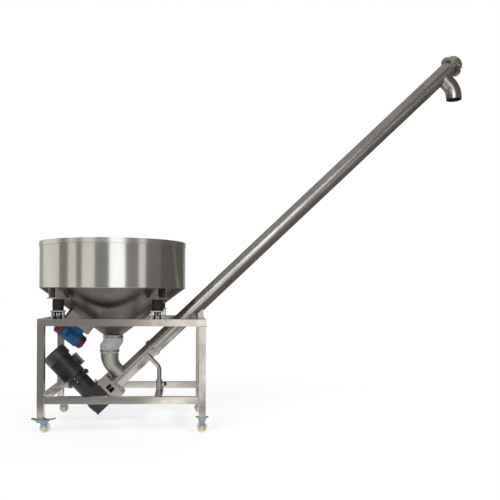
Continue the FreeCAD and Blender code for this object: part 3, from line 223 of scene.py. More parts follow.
# %% [markdown]
# ## Polished hopper sheet
# The drum is a sheet rolled from bright polished steel. Its belt lines run round it, so lamps are
# drawn out to tall bands. The sheet is never perfectly round: a very low, wide wave makes the
# bands sway as they do on the real drum.

# %% Polished sheet
# The lines are about 2.4 mm apart, because finer ones wouldn't show, and the waves about 200 mm.
SHEET_LINES_PER_METRE = 420.0
SHEET_WAVES_PER_METRE = 5.0


def polished_sheet(name, colour, shade, roughness):
    """Bright rolled sheet: fine lines round it, and slow waves left by the rolls."""
    material, tree, shader = new_material(name, colour, 1.0, roughness)
    place = add(tree, "TexCoord").outputs["Object"]
    squeezed = add(tree, "Mapping", Vector=place, Scale=(0.05, 0.05, 1)).outputs["Vector"]
    lines = add(tree, "TexNoise", Vector=squeezed, Scale=SHEET_LINES_PER_METRE, Detail=2.0)
    stretched = add(tree, "Mapping", Vector=place, Scale=(1, 1, 0.35)).outputs["Vector"]
    waves = add(tree, "TexNoise", Vector=stretched, Scale=SHEET_WAVES_PER_METRE, Detail=2.0)
    tint = stops(add(tree, "ValToRGB", Fac=waves.outputs["Fac"]), (0.35, shade), (0.65, colour))
    tree.links.new(tint, shader.inputs["Base Color"])
    rough = add(tree, "MapRange", Value=lines.outputs["Fac"], From_Min=0.3, From_Max=0.7,
                To_Min=roughness - 0.03, To_Max=roughness + 0.06)
    tree.links.new(rough.outputs["Result"], shader.inputs["Roughness"])
    wavy = add(tree, "Bump", Height=waves.outputs["Fac"], Strength=0.25, Distance=0.004)
    fine = add(tree, "Bump", Height=lines.outputs["Fac"], Strength=0.03, Distance=0.0005,
               Normal=wavy.outputs["Normal"])
    tree.links.new(fine.outputs["Normal"], shader.inputs["Normal"])
    return material


drum_sheet = polished_sheet("drum_sheet_polished", "e8e6e2", "dedbd6", 0.13)
rim_sheet = polished_sheet("rim_band_polished", "f0eeea", "e6e3de", 0.20)
bright_steel = polished_sheet("machined_bright_steel", "d6d3cf", "b4b0ab", 0.22)

# %% [markdown]
# ## Plating, enamel, rubber and plastics
# The casters are zinc plated, which looks pale and bluish with a spangle of crystals. The motor
# and gearbox are iron and aluminium castings sprayed with black enamel: the coat is smooth, but
# it follows the fine grit of the casting. The vibration motor has blue enamel with dark red ends.
# Rubber, nylon and moulded plastic are not metals, so they keep a soft, weak reflection.

# %% Zinc plate, enamels, rubber and plastics
# The clouds of a coat are about 55 mm wide.
COAT_CLOUDS_PER_METRE = 18.0


def coated(name, colour, shade, metallic, roughness, grit_mm, grit_depth, **settings):
    """A plated, sprayed or moulded surface: two close shades, and grit of a real size in the bump."""
    material, tree, shader = new_material(name, colour, metallic, roughness, **settings)
    place = add(tree, "TexCoord").outputs["Object"]
    clouds = add(tree, "TexNoise", Vector=place, Scale=COAT_CLOUDS_PER_METRE, Detail=6.0, Roughness=0.6)
    tint = stops(add(tree, "ValToRGB", Fac=clouds.outputs["Fac"]), (0.35, shade), (0.65, colour))
    tree.links.new(tint, shader.inputs["Base Color"])
    rough = add(tree, "MapRange", Value=clouds.outputs["Fac"], From_Min=0.3, From_Max=0.7,
                To_Min=roughness + 0.08, To_Max=roughness - 0.05)
    tree.links.new(rough.outputs["Result"], shader.inputs["Roughness"])
    grit = add(tree, "TexNoise", Vector=place, Scale=1000 / grit_mm, Detail=2.0)
    bump = add(tree, "Bump", Height=grit.outputs["Fac"], Strength=grit_depth, Distance=0.0006)
    tree.links.new(bump.outputs["Normal"], shader.inputs["Normal"])
    return material


zinc_plate = coated("zinc_plated_steel", "9fb0bb", "7f919d", 0.85, 0.34, 3.0, 0.08)
black_enamel = coated("black_enamel_on_casting", "27282c", "1b1c1f", 0.0, 0.33, 2.5, 0.25)
motor_paint = coated("black_paint_on_motor", "414246", "313236", 0.0, 0.28, 2.0, 0.12)
blue_enamel = coated("blue_enamel_on_casting", "07608f", "054c72", 0.0, 0.34, 3.0, 0.15,
                     Specular_IOR_Level=0.28)
red_enamel = coated("dark_red_enamel_cover", "7d1b2b", "5a1220", 0.0, 0.30, 3.0, 0.10,
                    Specular_IOR_Level=0.35)
# A dark grey steel for the studs and nuts under the spring seats and the stud ends on the lugs.
dark_fastener_steel = coated("dark_grey_fasteners", "45433f", "322f2c", 0.9, 0.38, 2.0, 0.08)
mount_rubber = coated("black_mount_rubber", "1a1a1c", "101011", 0.0, 0.62, 2.0, 0.20)
wheel_nylon = coated("cream_cast_nylon", "dcd9bd", "c4c09f", 0.0, 0.42, 2.5, 0.10)
black_plastic = coated("black_moulded_plastic", "17171a", "0e0e10", 0.0, 0.40, 1.2, 0.20)
red_plastic = coated("red_moulded_plastic", "b02a2a", "8c1d1d", 0.0, 0.42, 1.2, 0.10)

# %% [markdown]
# ## Coated cloth
# The sleeve between the cone and the elbow is cloth with a rubber coat, sewn to a short tube.
# The weave shows through the coat as a fine grid. Real threads are 1 mm apart, too fine for the
# picture, so they are drawn 2 mm apart. A wave texture repeats 20 / tau times per unit of scale.

# %% Coated cloth with a weave
WAVE_REPEATS = 20 / math.tau
DUST_PER_METRE = 30.0


def coated_cloth(name, colour, shade, thread_mm=2.0):
    """Grey coated cloth: threads round the sleeve and along it, from its own UV map in metres."""
    material, tree, shader = new_material(name, colour, 0.0, 0.72, Sheen_Weight=0.25, Sheen_Roughness=0.5)
    flat = add(tree, "UVMap", {"uv_map": "cloth"}).outputs["UV"]
    scale = 1000 / thread_mm / WAVE_REPEATS
    across = add(tree, "TexWave", {"bands_direction": "X"}, Vector=flat, Scale=scale, Distortion=0.4)
    down = add(tree, "TexWave", {"bands_direction": "Y"}, Vector=flat, Scale=scale, Distortion=0.4)
    weave = add(tree, "Math", {"operation": "MULTIPLY"}, i0=across.outputs["Fac"], i1=down.outputs["Fac"])
    place = add(tree, "TexCoord").outputs["Object"]
    dust = add(tree, "TexNoise", Vector=place, Scale=DUST_PER_METRE, Detail=5.0)
    tint = stops(add(tree, "ValToRGB", Fac=dust.outputs["Fac"]), (0.35, shade), (0.7, colour))
    tree.links.new(tint, shader.inputs["Base Color"])
    bump = add(tree, "Bump", Height=weave.outputs[0], Strength=0.35, Distance=0.0004)
    tree.links.new(bump.outputs["Normal"], shader.inputs["Normal"])
    return material


sleeve_cloth = coated_cloth("coated_grey_cloth", "c8c6ca", "b0aeb4")
print("materials so far:", len(bpy.data.materials))

# %% [markdown]
# ## Dressing the CAD parts
# A cut or rolled edge on real steel is never a perfect corner: it catches a thin line of light.
# The CAD parts keep their meshes. Modifiers weld their loose triangles, clear the flat faces of
# needless edges and round the corners by half a millimetre or so.

# %% Rounded corners on the CAD parts
SHARP = math.radians(32)
NEARLY_FLAT = math.radians(0.4)
SAME_POINT = 0.00001


def dress(names, material, corner_mm=0.8, segments=2):
    """Gives CAD nodes a material, smooth round faces and slightly rounded corners."""
    for name in names.split():
        node = nodes[name]
        node.data.materials.clear()
        node.data.materials.append(material)
        for face in node.data.polygons:
            face.use_smooth = True
        weld = node.modifiers.new("weld", "WELD")
        weld.merge_threshold = SAME_POINT
        flat = node.modifiers.new("clear_flats", "DECIMATE")
        flat.decimate_type = "DISSOLVE"
        flat.angle_limit = NEARLY_FLAT
        corner = node.modifiers.new("corners", "BEVEL")
        corner.width = corner_mm * MM
        corner.segments = segments
        corner.limit_method = "ANGLE"
        corner.angle_limit = SHARP
        corner.miter_outer = "MITER_ARC"
        shade = node.modifiers.new("even_shading", "WEIGHTED_NORMAL")
        shade.keep_sharp = True


dress("top_long_rails lower_long_rails", frame_lengthwise, 2.0, 3)
dress("frame_posts", frame_upright, 2.0, 3)
dress("end_rails cross_rail", frame_crosswise, 2.0, 3)
dress("tube_end_plates tube_saddle lantern_housing vibrator_bracket", plate_steel, 0.8)
# The lugs and seats take the lighter plate, whose brightness is painted light.
dress("hopper_lugs spring_seats", lug_steel_painted_light, 0.8)
dress("end_clamp joint_collar tube_end_cap", plate_steel, 0.6)
dress("inlet_tube conveyor_tube conveyor_head discharge_spout auger_shaft", pipe_steel, 0.5)
dress("strut_rod strut_sleeve", pipe_steel, 0.5)
dress("inlet_elbow", elbow_steel, 0.5)
dress("hopper_drum", drum_sheet, 0.5)
dress("hopper_rim", rim_sheet, 0.5)
# The cone wears the darkened sheet, whose dark colour is painted shade.
dress("hopper_cone", cone_steel_painted_shade, 0.5)
dress("clamp_bolts lantern_bolts sleeve_clamp_lower sleeve_clamp_upper", bright_steel, 0.4)
dress("wing_nut shaft_bearings shaft_coupling crown_wheel_shaft", bright_steel, 0.4)
dress("motor_rotor vibrator_rotor auger_flight", bright_steel, 0.4)
dress("gearbox_housing gearbox_cover motor_end_shield", black_enamel, 2.0, 3)
dress("motor_frame motor_fan_cover motor_terminal_box", motor_paint, 0.8)
dress("motor_fan hand_screw", black_plastic, 0.6)
dress("vibrator_case", blue_enamel, 1.5, 3)
dress("vibrator_covers", red_enamel, 1.2, 3)
dress("caster_races", zinc_plate, 0.5)
for corner in ("front_left", "front_right", "rear_left", "rear_right"):
    dress(f"caster_fork_{corner}", zinc_plate, 0.5)
    dress(f"caster_wheel_{corner}", wheel_nylon, 0.8)
dress("brake_pedal_front_left brake_pedal_rear_left", zinc_plate, 0.5)
dress("rubber_springs", mount_rubber)
dress("flexible_sleeve", sleeve_cloth)
print("dressed", len([n for n in nodes.values() if n.modifiers]), "CAD nodes")

# %% [markdown]
# ## Making small parts
# Screws, beads, clamps and mounts are turned or cut shapes. Each starts as a few vertices or a
# bmesh primitive and is spun, extruded or bevelled, then placed in its mesh, so that its object
# stays at the origin like a CAD node's.

# %% Bmesh helpers
def turned(outline, steps):
    """A solid of revolution about +Z from a closed outline of (radius, height) in millimetres."""
    bm = bmesh.new()
    points = [bm.verts.new((r * MM, 0, z * MM)) for r, z in outline]
    edges = [bm.edges.new((a, b)) for a, b in zip(points, points[1:] + points[:1])]
    bmesh.ops.spin(bm, geom=points + edges, axis=(0, 0, 1), cent=(0, 0, 0), steps=steps,
                   angle=math.tau, use_merge=True, use_duplicate=False)
    bmesh.ops.remove_doubles(bm, verts=bm.verts, dist=1e-6)
    bmesh.ops.dissolve_degenerate(bm, edges=bm.edges, dist=1e-7)
    bmesh.ops.recalc_face_normals(bm, faces=bm.faces)
    return bm


def hexagon(across_mm, height_mm, chamfer_mm=0.6):
    """A hexagon head or nut on the XY plane."""
    bm = bmesh.new()
    radius = across_mm / math.sqrt(3) * MM
    bmesh.ops.create_cone(bm, cap_ends=True, segments=6, radius1=radius, radius2=radius, depth=height_mm * MM,
                          matrix=Matrix.Translation((0, 0, height_mm / 2 * MM)))
    bmesh.ops.bevel(bm, geom=bm.edges[:], offset=chamfer_mm * MM, segments=2, profile=0.5, affect="EDGES",
                    material=-1)
    return bm


def block(size_mm, corner_mm):
    """A box of a size in millimetres with rounded corners, standing on the XY plane."""
    bm = bmesh.new()
    bmesh.ops.create_cube(bm, size=1)
    bmesh.ops.scale(bm, vec=[s * MM for s in size_mm], verts=bm.verts)
    bmesh.ops.translate(bm, vec=(0, 0, size_mm[2] / 2 * MM), verts=bm.verts)
    bmesh.ops.bevel(bm, geom=bm.edges[:], offset=corner_mm * MM, segments=3, profile=0.5, affect="EDGES",
                    material=-1)
    return bm


def gather(parts):
    """One bmesh from (bmesh, matrix) pairs. Each part may be placed several times."""
    whole = bpy.data.meshes.new("gathered")
    out = bmesh.new()
    for bm, matrix in parts:
        bm.to_mesh(whole)
        whole.transform(matrix)
        out.from_mesh(whole)
    bpy.data.meshes.remove(whole)
    return out


made = []


def piece(name, bm, material, body, smooth=True):
    """Turns a bmesh into a piece of the machine that rides on a CAD body."""
    mesh = bpy.data.meshes.new(name)
    bm.to_mesh(mesh)
    bm.free()
    mesh.materials.append(material)
    if smooth:
        mesh.shade_smooth()
        mesh.set_sharp_from_angle(angle=SHARP)
    obj = bpy.data.objects.new(name, mesh)
    scene.collection.objects.link(obj)
    if body:
        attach(obj, body)
    made.append(name)
    return obj


# %% [markdown]
# ## Rubber mounts
# Four rubber springs carry the hopper. A mount is a rubber cylinder bonded to a steel disc at
# each end. It bulges a little under the load, and a small lip of rubber runs onto each disc. The
# rubber stretches between frame and hopper as it bounces, and its piece rides on neither body.

# %% Rubber mounts
rubber_low, rubber_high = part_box("rubber_springs")
RUBBER_RADIUS = 41.0
RUBBER_HEIGHT = (rubber_high.z - rubber_low.z) / MM
mount_places = [Vector((x, y, rubber_low.z))
                for x in (rubber_low.x + RUBBER_RADIUS * MM, rubber_high.x - RUBBER_RADIUS * MM)
                for y in (rubber_low.y + RUBBER_RADIUS * MM, rubber_high.y - RUBBER_RADIUS * MM)]
DISC = 2.5
BULGE, BULGE_STEPS = 2.2, 12
bulge_height = RUBBER_HEIGHT - 2 * DISC - 8
mount_side = [(RUBBER_RADIUS - 0.4, DISC), (RUBBER_RADIUS - 1.6, DISC + 2)]
for step in range(BULGE_STEPS + 1):
    mount_side.append((RUBBER_RADIUS - 2.4 + BULGE * math.sin(math.pi * step / BULGE_STEPS),
                       DISC + 4 + bulge_height * step / BULGE_STEPS))
mount_side += [(RUBBER_RADIUS - 1.6, RUBBER_HEIGHT - DISC - 2), (RUBBER_RADIUS - 0.4, RUBBER_HEIGHT - DISC)]
mount = turned([(0, DISC)] + mount_side + [(0, RUBBER_HEIGHT - DISC)], 40)
rubber = piece("rubber_mounts", gather([(mount, Matrix.Translation(p)) for p in mount_places]),
               mount_rubber, None)
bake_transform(rubber)
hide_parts("rubber_springs")

disc = turned([(0, 0), (RUBBER_RADIUS, 0), (RUBBER_RADIUS, DISC), (0, DISC)], 40)
top_disc = Matrix.Translation((0, 0, (RUBBER_HEIGHT - DISC) * MM))
piece("mount_discs_lower", gather([(disc, Matrix.Translation(p)) for p in mount_places]), zinc_plate,
      "frame")
piece("mount_discs_upper", gather([(disc, Matrix.Translation(p) @ top_disc) for p in mount_places]),
      zinc_plate, "hopper")
print("rubber mounts at", [[round(v, 3) for v in p] for p in mount_places])

# %% [markdown]
# ## The sewn sleeve
# The cone shakes and the elbow stands still, so a short tube of coated cloth joins them. Each
# end is pushed over its pipe and held by a worm-drive clamp. Between the clamps the cloth is
# slack and bellies out in soft folds. It starts as a circle that is extruded ring by ring, and
# smooth noise then pushes the slack rings in and out.

# %% Cloth sleeve
sleeve_low, sleeve_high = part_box("flexible_sleeve")
lower_clamp, upper_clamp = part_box("sleeve_clamp_lower"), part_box("sleeve_clamp_upper")
HOPPER_X = (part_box("hopper_drum")[0].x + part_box("hopper_drum")[1].x) / 2
ELBOW_X = (lower_clamp[0].x + lower_clamp[1].x) / 2
LOWER_RADIUS, UPPER_RADIUS = 72.0, 75.0
CUFF = 34.0
BELLY = 6.5
FOLD_DEPTH, PLEAT_DEPTH, CLOTH_THICKNESS = 4.5, 2.6, 1.2
SLEEVE_RINGS, SLEEVE_STEPS = 44, 72
GROW = 0.6


def sleeve_ring(share):
    """Centre, radius and slackness of the sleeve at a share of its height."""
    height = (sleeve_high.z - sleeve_low.z) / MM
    t = min(1.0, max(0.0, (share * height - CUFF) / (height - 2 * CUFF)))
    ease = t * t * (3 - 2 * t)
    slack = math.sin(math.pi * t) ** 0.8 if 0 < t < 1 else 0.0
    radius = LOWER_RADIUS + (UPPER_RADIUS - LOWER_RADIUS) * ease + BELLY * slack + GROW
    centre = Vector((ELBOW_X + (HOPPER_X - ELBOW_X) * ease, 0, sleeve_low.z + height * MM * share))
    return centre, radius, slack


sleeve = bmesh.new()
first_centre, first_radius, _ = sleeve_ring(0)
bmesh.ops.create_circle(sleeve, segments=SLEEVE_STEPS, radius=first_radius * MM,
                        matrix=Matrix.Translation(first_centre))
rim = sleeve.edges[:]
here, wide = first_centre, first_radius
for ring in range(1, SLEEVE_RINGS + 1):
    centre, radius, _ = sleeve_ring(ring / SLEEVE_RINGS)
    out = bmesh.ops.extrude_edge_only(sleeve, edges=rim)["geom"]
    lifted = [v for v in out if isinstance(v, bmesh.types.BMVert)]
    rim = [e for e in out if isinstance(e, bmesh.types.BMEdge)]
    bmesh.ops.translate(sleeve, vec=centre - here, verts=lifted)
    bmesh.ops.scale(sleeve, vec=(radius / wide, radius / wide, 1), verts=lifted,
                    space=Matrix.Translation(-centre))
    here, wide = centre, radius
cloth_map = sleeve.loops.layers.uv.new("cloth")
for vert in sleeve.verts:
    share = (vert.co.z - sleeve_low.z) / (sleeve_high.z - sleeve_low.z)
    centre, radius, slack = sleeve_ring(share)
    out = (vert.co - centre) * Vector((1, 1, 0))
    around = math.atan2(out.y, out.x)
    fold = noise.noise(Vector((math.cos(around) * 1.6, math.sin(around) * 1.6, share * 5.0)))
    pleat = noise.noise(Vector((math.cos(around) * 5.5, math.sin(around) * 5.5, share * 1.5)))
    near_cuff = min(1.0, slack * 3) * (1 - slack)
    vert.co += out.normalized() * (FOLD_DEPTH * fold * slack + PLEAT_DEPTH * pleat * near_cuff) * MM
for face in sleeve.faces:
    for loop in face.loops:
        centre, radius, _ = sleeve_ring((loop.vert.co.z - sleeve_low.z) / (sleeve_high.z - sleeve_low.z))
        out = loop.vert.co - centre
        loop[cloth_map].uv = (math.atan2(out.y, out.x) * UPPER_RADIUS * MM, loop.vert.co.z)
bmesh.ops.recalc_face_normals(sleeve, faces=sleeve.faces)
cloth = piece("cloth_sleeve", sleeve, sleeve_cloth, None)
thick = cloth.modifiers.new("cloth_thickness", "SOLIDIFY")
thick.thickness = CLOTH_THICKNESS * MM
thick.offset = -1
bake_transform(cloth)
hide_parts("flexible_sleeve")

# %% [markdown]
# ## Weld beads
# The steelwork is welded, and a bead runs round every joint. A welder lays it as a row of small
# pools, so it has ripples. A hexagonal ring is extruded from point to point along the joint, and
# every other ring is a little wider. Where two pipes meet, the joint is a saddle-shaped curve.

# %% Beads along a path
def bead(points, normal, wide_mm, closed=True, ripple=0.14):
    """A weld bead through points in metres. normal is a direction that the path never takes."""
    count = len(points)
    frames = []
    for i, point in enumerate(points):
        before = points[i - 1] if closed or i else point
        after = points[(i + 1) % count] if closed or i < count - 1 else point
        swell = wide_mm / 2 * MM * (1 + ripple * (-1) ** i)
        frames.append(aim(point, after - before, normal) @ Matrix.Scale(swell, 4))
    bm = bmesh.new()
    bmesh.ops.create_circle(bm, segments=6, radius=1, cap_ends=not closed, matrix=frames[0])
    first = ring = bm.edges[:]
    for here, there in zip(frames, frames[1:]):
        out = bmesh.ops.extrude_edge_only(bm, edges=ring)["geom"]
        bmesh.ops.transform(bm, matrix=there @ here.inverted(),
                            verts=[v for v in out if isinstance(v, bmesh.types.BMVert)])
        ring = [e for e in out if isinstance(e, bmesh.types.BMEdge)]
    if closed:
        bmesh.ops.bridge_loops(bm, edges=first + ring)
    else:
        bmesh.ops.holes_fill(bm, edges=ring, sides=6)
    bmesh.ops.recalc_face_normals(bm, faces=bm.faces)
    return bm


def round_path(centre, normal, radius_mm, step_mm=4.0):
    """Points round a circle, one for each half ripple."""
    count = 2 * round(math.pi * radius_mm / step_mm)
    spokes = [math.tau * i / count for i in range(count)]
    return [aim(centre, normal) @ (Vector((math.cos(a), math.sin(a), 0)) * radius_mm * MM) for a in spokes]


def square_path(centre, normal, half_mm=25.0, per_side=12):
    """Points round a square tube, where it meets another."""
    corners = [Vector(c) * half_mm * MM for c in ((-1, -1, 0), (1, -1, 0), (1, 1, 0), (-1, 1, 0))]
    sides = zip(corners, corners[1:] + corners[:1])
    return [aim(centre, normal) @ a.lerp(b, i / per_side) for a, b in sides for i in range(per_side)]


def saddle_path(along, branch_mm, trunk_mm, side, step_mm=4.0):
    """Points where a branch, square to the conveyor tube, meets it on its upper or lower side."""
    count = 2 * round(math.pi * branch_mm / step_mm)
    points = []
    for i in range(count):
        across = branch_mm * math.sin(math.tau * i / count)
        points.append(on_tube(along + branch_mm * math.cos(math.tau * i / count),
                              side * math.sqrt(trunk_mm**2 - across**2), across))
    return points


# %% [markdown]
# ## Where the beads run
# The drum is welded to the cone, to its rim band and to itself, along the seam of the rolled sheet.
# Each rail is welded to the face of a post, and the elbow, spout and flanges to the tubes. The CAD
# parts' own boxes give most of the places, so the beads stay on their joints.

# %% Beads on the hopper, the frame and the tubes
X, Y, Z = Vector((1, 0, 0)), Vector((0, 1, 0)), Vector((0, 0, 1))
STILL = Matrix.Identity(4)
drum_low, drum_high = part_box("hopper_drum")
rim_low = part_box("hopper_rim")[0]
cone_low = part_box("hopper_cone")[0]
DRUM_RADIUS = (drum_high.x - drum_low.x) / 2 / MM
OUTLET_RADIUS = 72.0
OUTLET_LENGTH = 32.0
hopper_axis = Vector((HOPPER_X, 0, 0))
CONE_FOOT = cone_low.z + OUTLET_LENGTH * MM
SHEET_BEAD, RIM_BEAD, OUTLET_BEAD = 5, 3.5, 4
SEAM_ANGLE = math.radians(68)
SEAM_DIRECTION = Vector((math.cos(SEAM_ANGLE), math.sin(SEAM_ANGLE), 0))


def seam_path(low_mm, high_mm, low_z, high_z, sunk_mm, steps):
    """Points up a seam of the hopper, between two radii in millimetres and two heights in metres."""
    points = []
    for i in range(steps + 1):
        radius = low_mm + (high_mm - low_mm) * i / steps - sunk_mm
        height = low_z + (high_z - low_z) * i / steps
        points.append(hopper_axis + SEAM_DIRECTION * radius * MM + Z * height)
    return points


hopper_beads = [bead(round_path(hopper_axis + Z * drum_low.z, Z, DRUM_RADIUS), Z, SHEET_BEAD),
                bead(round_path(hopper_axis + Z * rim_low.z, Z, DRUM_RADIUS + 0.5), Z, RIM_BEAD, ripple=0.05),
                bead(round_path(hopper_axis + Z * CONE_FOOT, Z, OUTLET_RADIUS + 0.5), Z, OUTLET_BEAD)]
drum_seam = seam_path(DRUM_RADIUS, DRUM_RADIUS, drum_low.z, rim_low.z, 0.6, 70)
cone_seam = seam_path(OUTLET_RADIUS, DRUM_RADIUS, CONE_FOOT, drum_low.z, 0.4, 140)
hopper_beads += [bead(seam, X, SHEET_BEAD, closed=False) for seam in (drum_seam, cone_seam)]
piece("hopper_weld_beads", gather([(b, STILL) for b in hopper_beads]), plate_steel, "hopper")

HALF_TUBE = 0.025
HALF_LENGTH = (post_high.x - post_low.x) / 2 - HALF_TUBE
HALF_WIDTH = (post_high.y - post_low.y) / 2 - HALF_TUBE
low_rail_z = (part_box("lower_long_rails")[0].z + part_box("lower_long_rails")[1].z) / 2
top_rail_z = (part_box("top_long_rails")[0].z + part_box("top_long_rails")[1].z) / 2
cross_x = (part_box("cross_rail")[0].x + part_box("cross_rail")[1].x) / 2
RAIL_BEAD = 4
loops = []
for sx in (-1, 1):
    for sy in (-1, 1):
        corner = Vector((FRAME_X + sx * HALF_LENGTH, sy * HALF_WIDTH, 0))
        face_x = corner - X * sx * HALF_TUBE
        face_y = corner - Y * sy * HALF_TUBE
        loops += [(face_x + Z * low_rail_z, X), (face_y + Z * low_rail_z, Y),
                  (face_y + Z * top_rail_z, Y), (corner + Z * (top_rail_z - HALF_TUBE), Z)]
loops += [(Vector((cross_x, sy * (HALF_WIDTH - HALF_TUBE), low_rail_z)), Y) for sy in (-1, 1)]
frame_beads = [bead(square_path(centre, normal), normal, RAIL_BEAD) for centre, normal in loops]
INLET_RADIUS, CONVEYOR_RADIUS, BRANCH_RADIUS = 57.7, 60.5, 57.0
ELBOW_AT, SPOUT_AT, HEAD_AT = 72.4, 3505.0, 3322.0
INLET_FLANGE_BACK, FERRULE_BACK = 8.5, 3604.0
BRANCH_BEAD, FLANGE_BEAD, HEAD_BEAD = 4.5, 4, 3
tube_beads = [bead(saddle_path(ELBOW_AT, BRANCH_RADIUS, INLET_RADIUS, 1), ALONG_TUBE, BRANCH_BEAD),
              bead(saddle_path(SPOUT_AT, BRANCH_RADIUS, CONVEYOR_RADIUS, -1), ALONG_TUBE, BRANCH_BEAD)]
for along, radius, wide in ((HEAD_AT, CONVEYOR_RADIUS, HEAD_BEAD),
                            (INLET_FLANGE_BACK, INLET_RADIUS + 0.5, FLANGE_BEAD),
                            (FERRULE_BACK, CONVEYOR_RADIUS, HEAD_BEAD)):
    tube_beads.append(bead(round_path(on_tube(along), ALONG_TUBE, radius), ALONG_TUBE, wide))
piece("frame_weld_beads", gather([(b, STILL) for b in frame_beads]), plate_steel, "frame")
piece("tube_weld_beads", gather([(b, STILL) for b in tube_beads]), plate_steel, "frame")
print("beads:", len(hopper_beads) + len(frame_beads) + len(tube_beads))

# %% [markdown]
# ## Bolts, nuts and studs
# Every joint that comes apart has hexagon bolts with washers. One bolt is made from a hexagon with
# a small chamfer, and is then placed many times. A nut with the end of its stud is made the same way.

# %% Bolts
def bolt(across_mm, high_mm):
    """A hexagon head on its washer, standing on the XY plane."""
    washer = turned([(0, 0), (across_mm * 0.72, 0), (across_mm * 0.72, 1.6), (0, 1.6)], 24)
    return gather([(washer, STILL), (hexagon(across_mm, high_mm), Matrix.Translation((0, 0, 1.4 * MM)))])


def nut(across_mm, high_mm, stud_mm):
    """A nut on a washer, with the end of its stud standing out of it."""
    radius = across_mm * 0.31
    stud = turned([(0, 0), (radius, 0), (radius, high_mm + stud_mm), (radius - 1, high_mm + stud_mm + 1),
                   (0, high_mm + stud_mm + 1)], 20)
    return gather([(bolt(across_mm, high_mm), STILL), (stud, STILL)])


def circle_of(centre, normal, radius_mm, count, turn=0.5):
    """Places for bolts round a circle, standing along its axis."""
    base = aim(centre, normal)
    spots = []
    for i in range(count):
        angle = math.tau * (i + turn) / count
        spoke = Vector((math.cos(angle), math.sin(angle), 0))
        spots.append(base @ Matrix.Translation(spoke * radius_mm * MM))
    return spots


def square_of(along, half_mm, direction):
    """Places for four bolts at the corners of a square plate across the conveyor tube."""
    return [aim(on_tube(along, above, across), direction) for above in (-half_mm, half_mm)
            for across in (-half_mm, half_mm)]


small, medium, through = bolt(8, 4), bolt(13, 7), bolt(12, 8)
LANTERN_BOLT, FLANGE = 51.6, 8.0
lantern_places = square_of(FLANGE, LANTERN_BOLT, ALONG_TUBE)
lantern = piece("lantern_hexagon_bolts", gather([(medium, p) for p in lantern_places]), bright_steel,
                "frame")
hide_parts("lantern_bolts")
MOTOR_AT, MOTOR_FLANGE_TOP, GEAR_FLANGE_UNDER = -189.0, 234.0, 210.0
FLANGE_CIRCLE, COVER_FACE, COVER_CIRCLE = 91, -266, 52
drive_places = []
for height, direction in ((MOTOR_FLANGE_TOP, ABOVE_TUBE), (GEAR_FLANGE_UNDER, -ABOVE_TUBE)):
    middle = on_tube(MOTOR_AT, height)
    drive_places += [(through, p) for p in circle_of(middle, direction, FLANGE_CIRCLE, 6)]
drive_places += [(small, p) for p in circle_of(on_tube(COVER_FACE), -ALONG_TUBE, COVER_CIRCLE, 6)]
LANTERN_CORNER, GEAR_FACE = 84.0, -85.0
drive_places += [(medium, p) for p in square_of(GEAR_FACE, LANTERN_CORNER, -ALONG_TUBE)]
piece("drive_bolts", gather(drive_places), bright_steel, "frame")
print("bolts on the drive:", len(drive_places))

# %% [markdown]
# ## Fasteners of the wheels and the rubber mounts
# A nut closes each end of a wheel's axle. It rides on the caster's fork, or on the frame where the
# fork is fixed. Under each spring seat hang four studs and the large nut of the rubber mount, which
# are dark grey steel. The end of the mount's upper stud stands out of the nut on the hopper's lug.

# %% Fasteners of the casters and the mounts
FORK_OUTER, SEAT_PLATE, LUG_FOOT, LUG_NUT = 18.5, 8.0, 8.0, 12.0
axle_nut = bolt(15, 5)
for corner, body in (("front_left", "fork_front_left"), ("rear_left", "fork_rear_left"),
                     ("front_right", "frame"), ("rear_right", "frame")):
    hub = joints[f"roll_{corner}"]
    middle, axis = Vector(hub["pos_m"]), Vector(hub["axis"]).normalized()
    nuts = [(axle_nut, aim(middle + axis * side * FORK_OUTER * MM, axis * side)) for side in (-1, 1)]
    piece(f"axle_nuts_{corner}", gather(nuts), bright_steel, body)

seat_nut = nut(19, 11, 14)
SEAT_ROOM, STUD_AT = 52.0, ((-20, -16), (-20, 16), (20, -16), (20, 16))
seat_stud = turned([(0, -SEAT_ROOM), (5, -SEAT_ROOM), (5, 0), (0, 0)], 20)
stud_nut = hexagon(17, 8)
seat_studs = []
for place in mount_places:
    for x, y in STUD_AT:
        under_plate = place + Vector((x, y, -SEAT_PLATE)) * MM
        seat_studs += [(seat_stud, Matrix.Translation(under_plate)), (stud_nut, aim(under_plate, -Z)),
                       (stud_nut, Matrix.Translation(under_plate - Z * SEAT_ROOM * MM))]
piece("seat_studs", gather(seat_studs), dark_fastener_steel, "frame")
stud_end = turned([(0, 0), (5, 0), (5, 8), (4, 9), (0, 9)], 20)
stud_foot = (RUBBER_HEIGHT + LUG_FOOT + LUG_NUT) * MM
piece("mount_nuts_lower", gather([(seat_nut, aim(p - Z * SEAT_PLATE * MM, -Z)) for p in mount_places]),
      dark_fastener_steel, "frame")
piece("mount_stud_ends", gather([(stud_end, Matrix.Translation(p + Z * stud_foot)) for p in mount_places]),
      dark_fastener_steel, "hopper")

# %% [markdown]
# ## Fittings of the drive
# The gearbox has an oil glass, two plugs and a breather. The motor has a grille and screws on its
# fan cover, four screws in the lid of its terminal box, and a blank plug where a cable would enter.
# The photograph shows no cable.

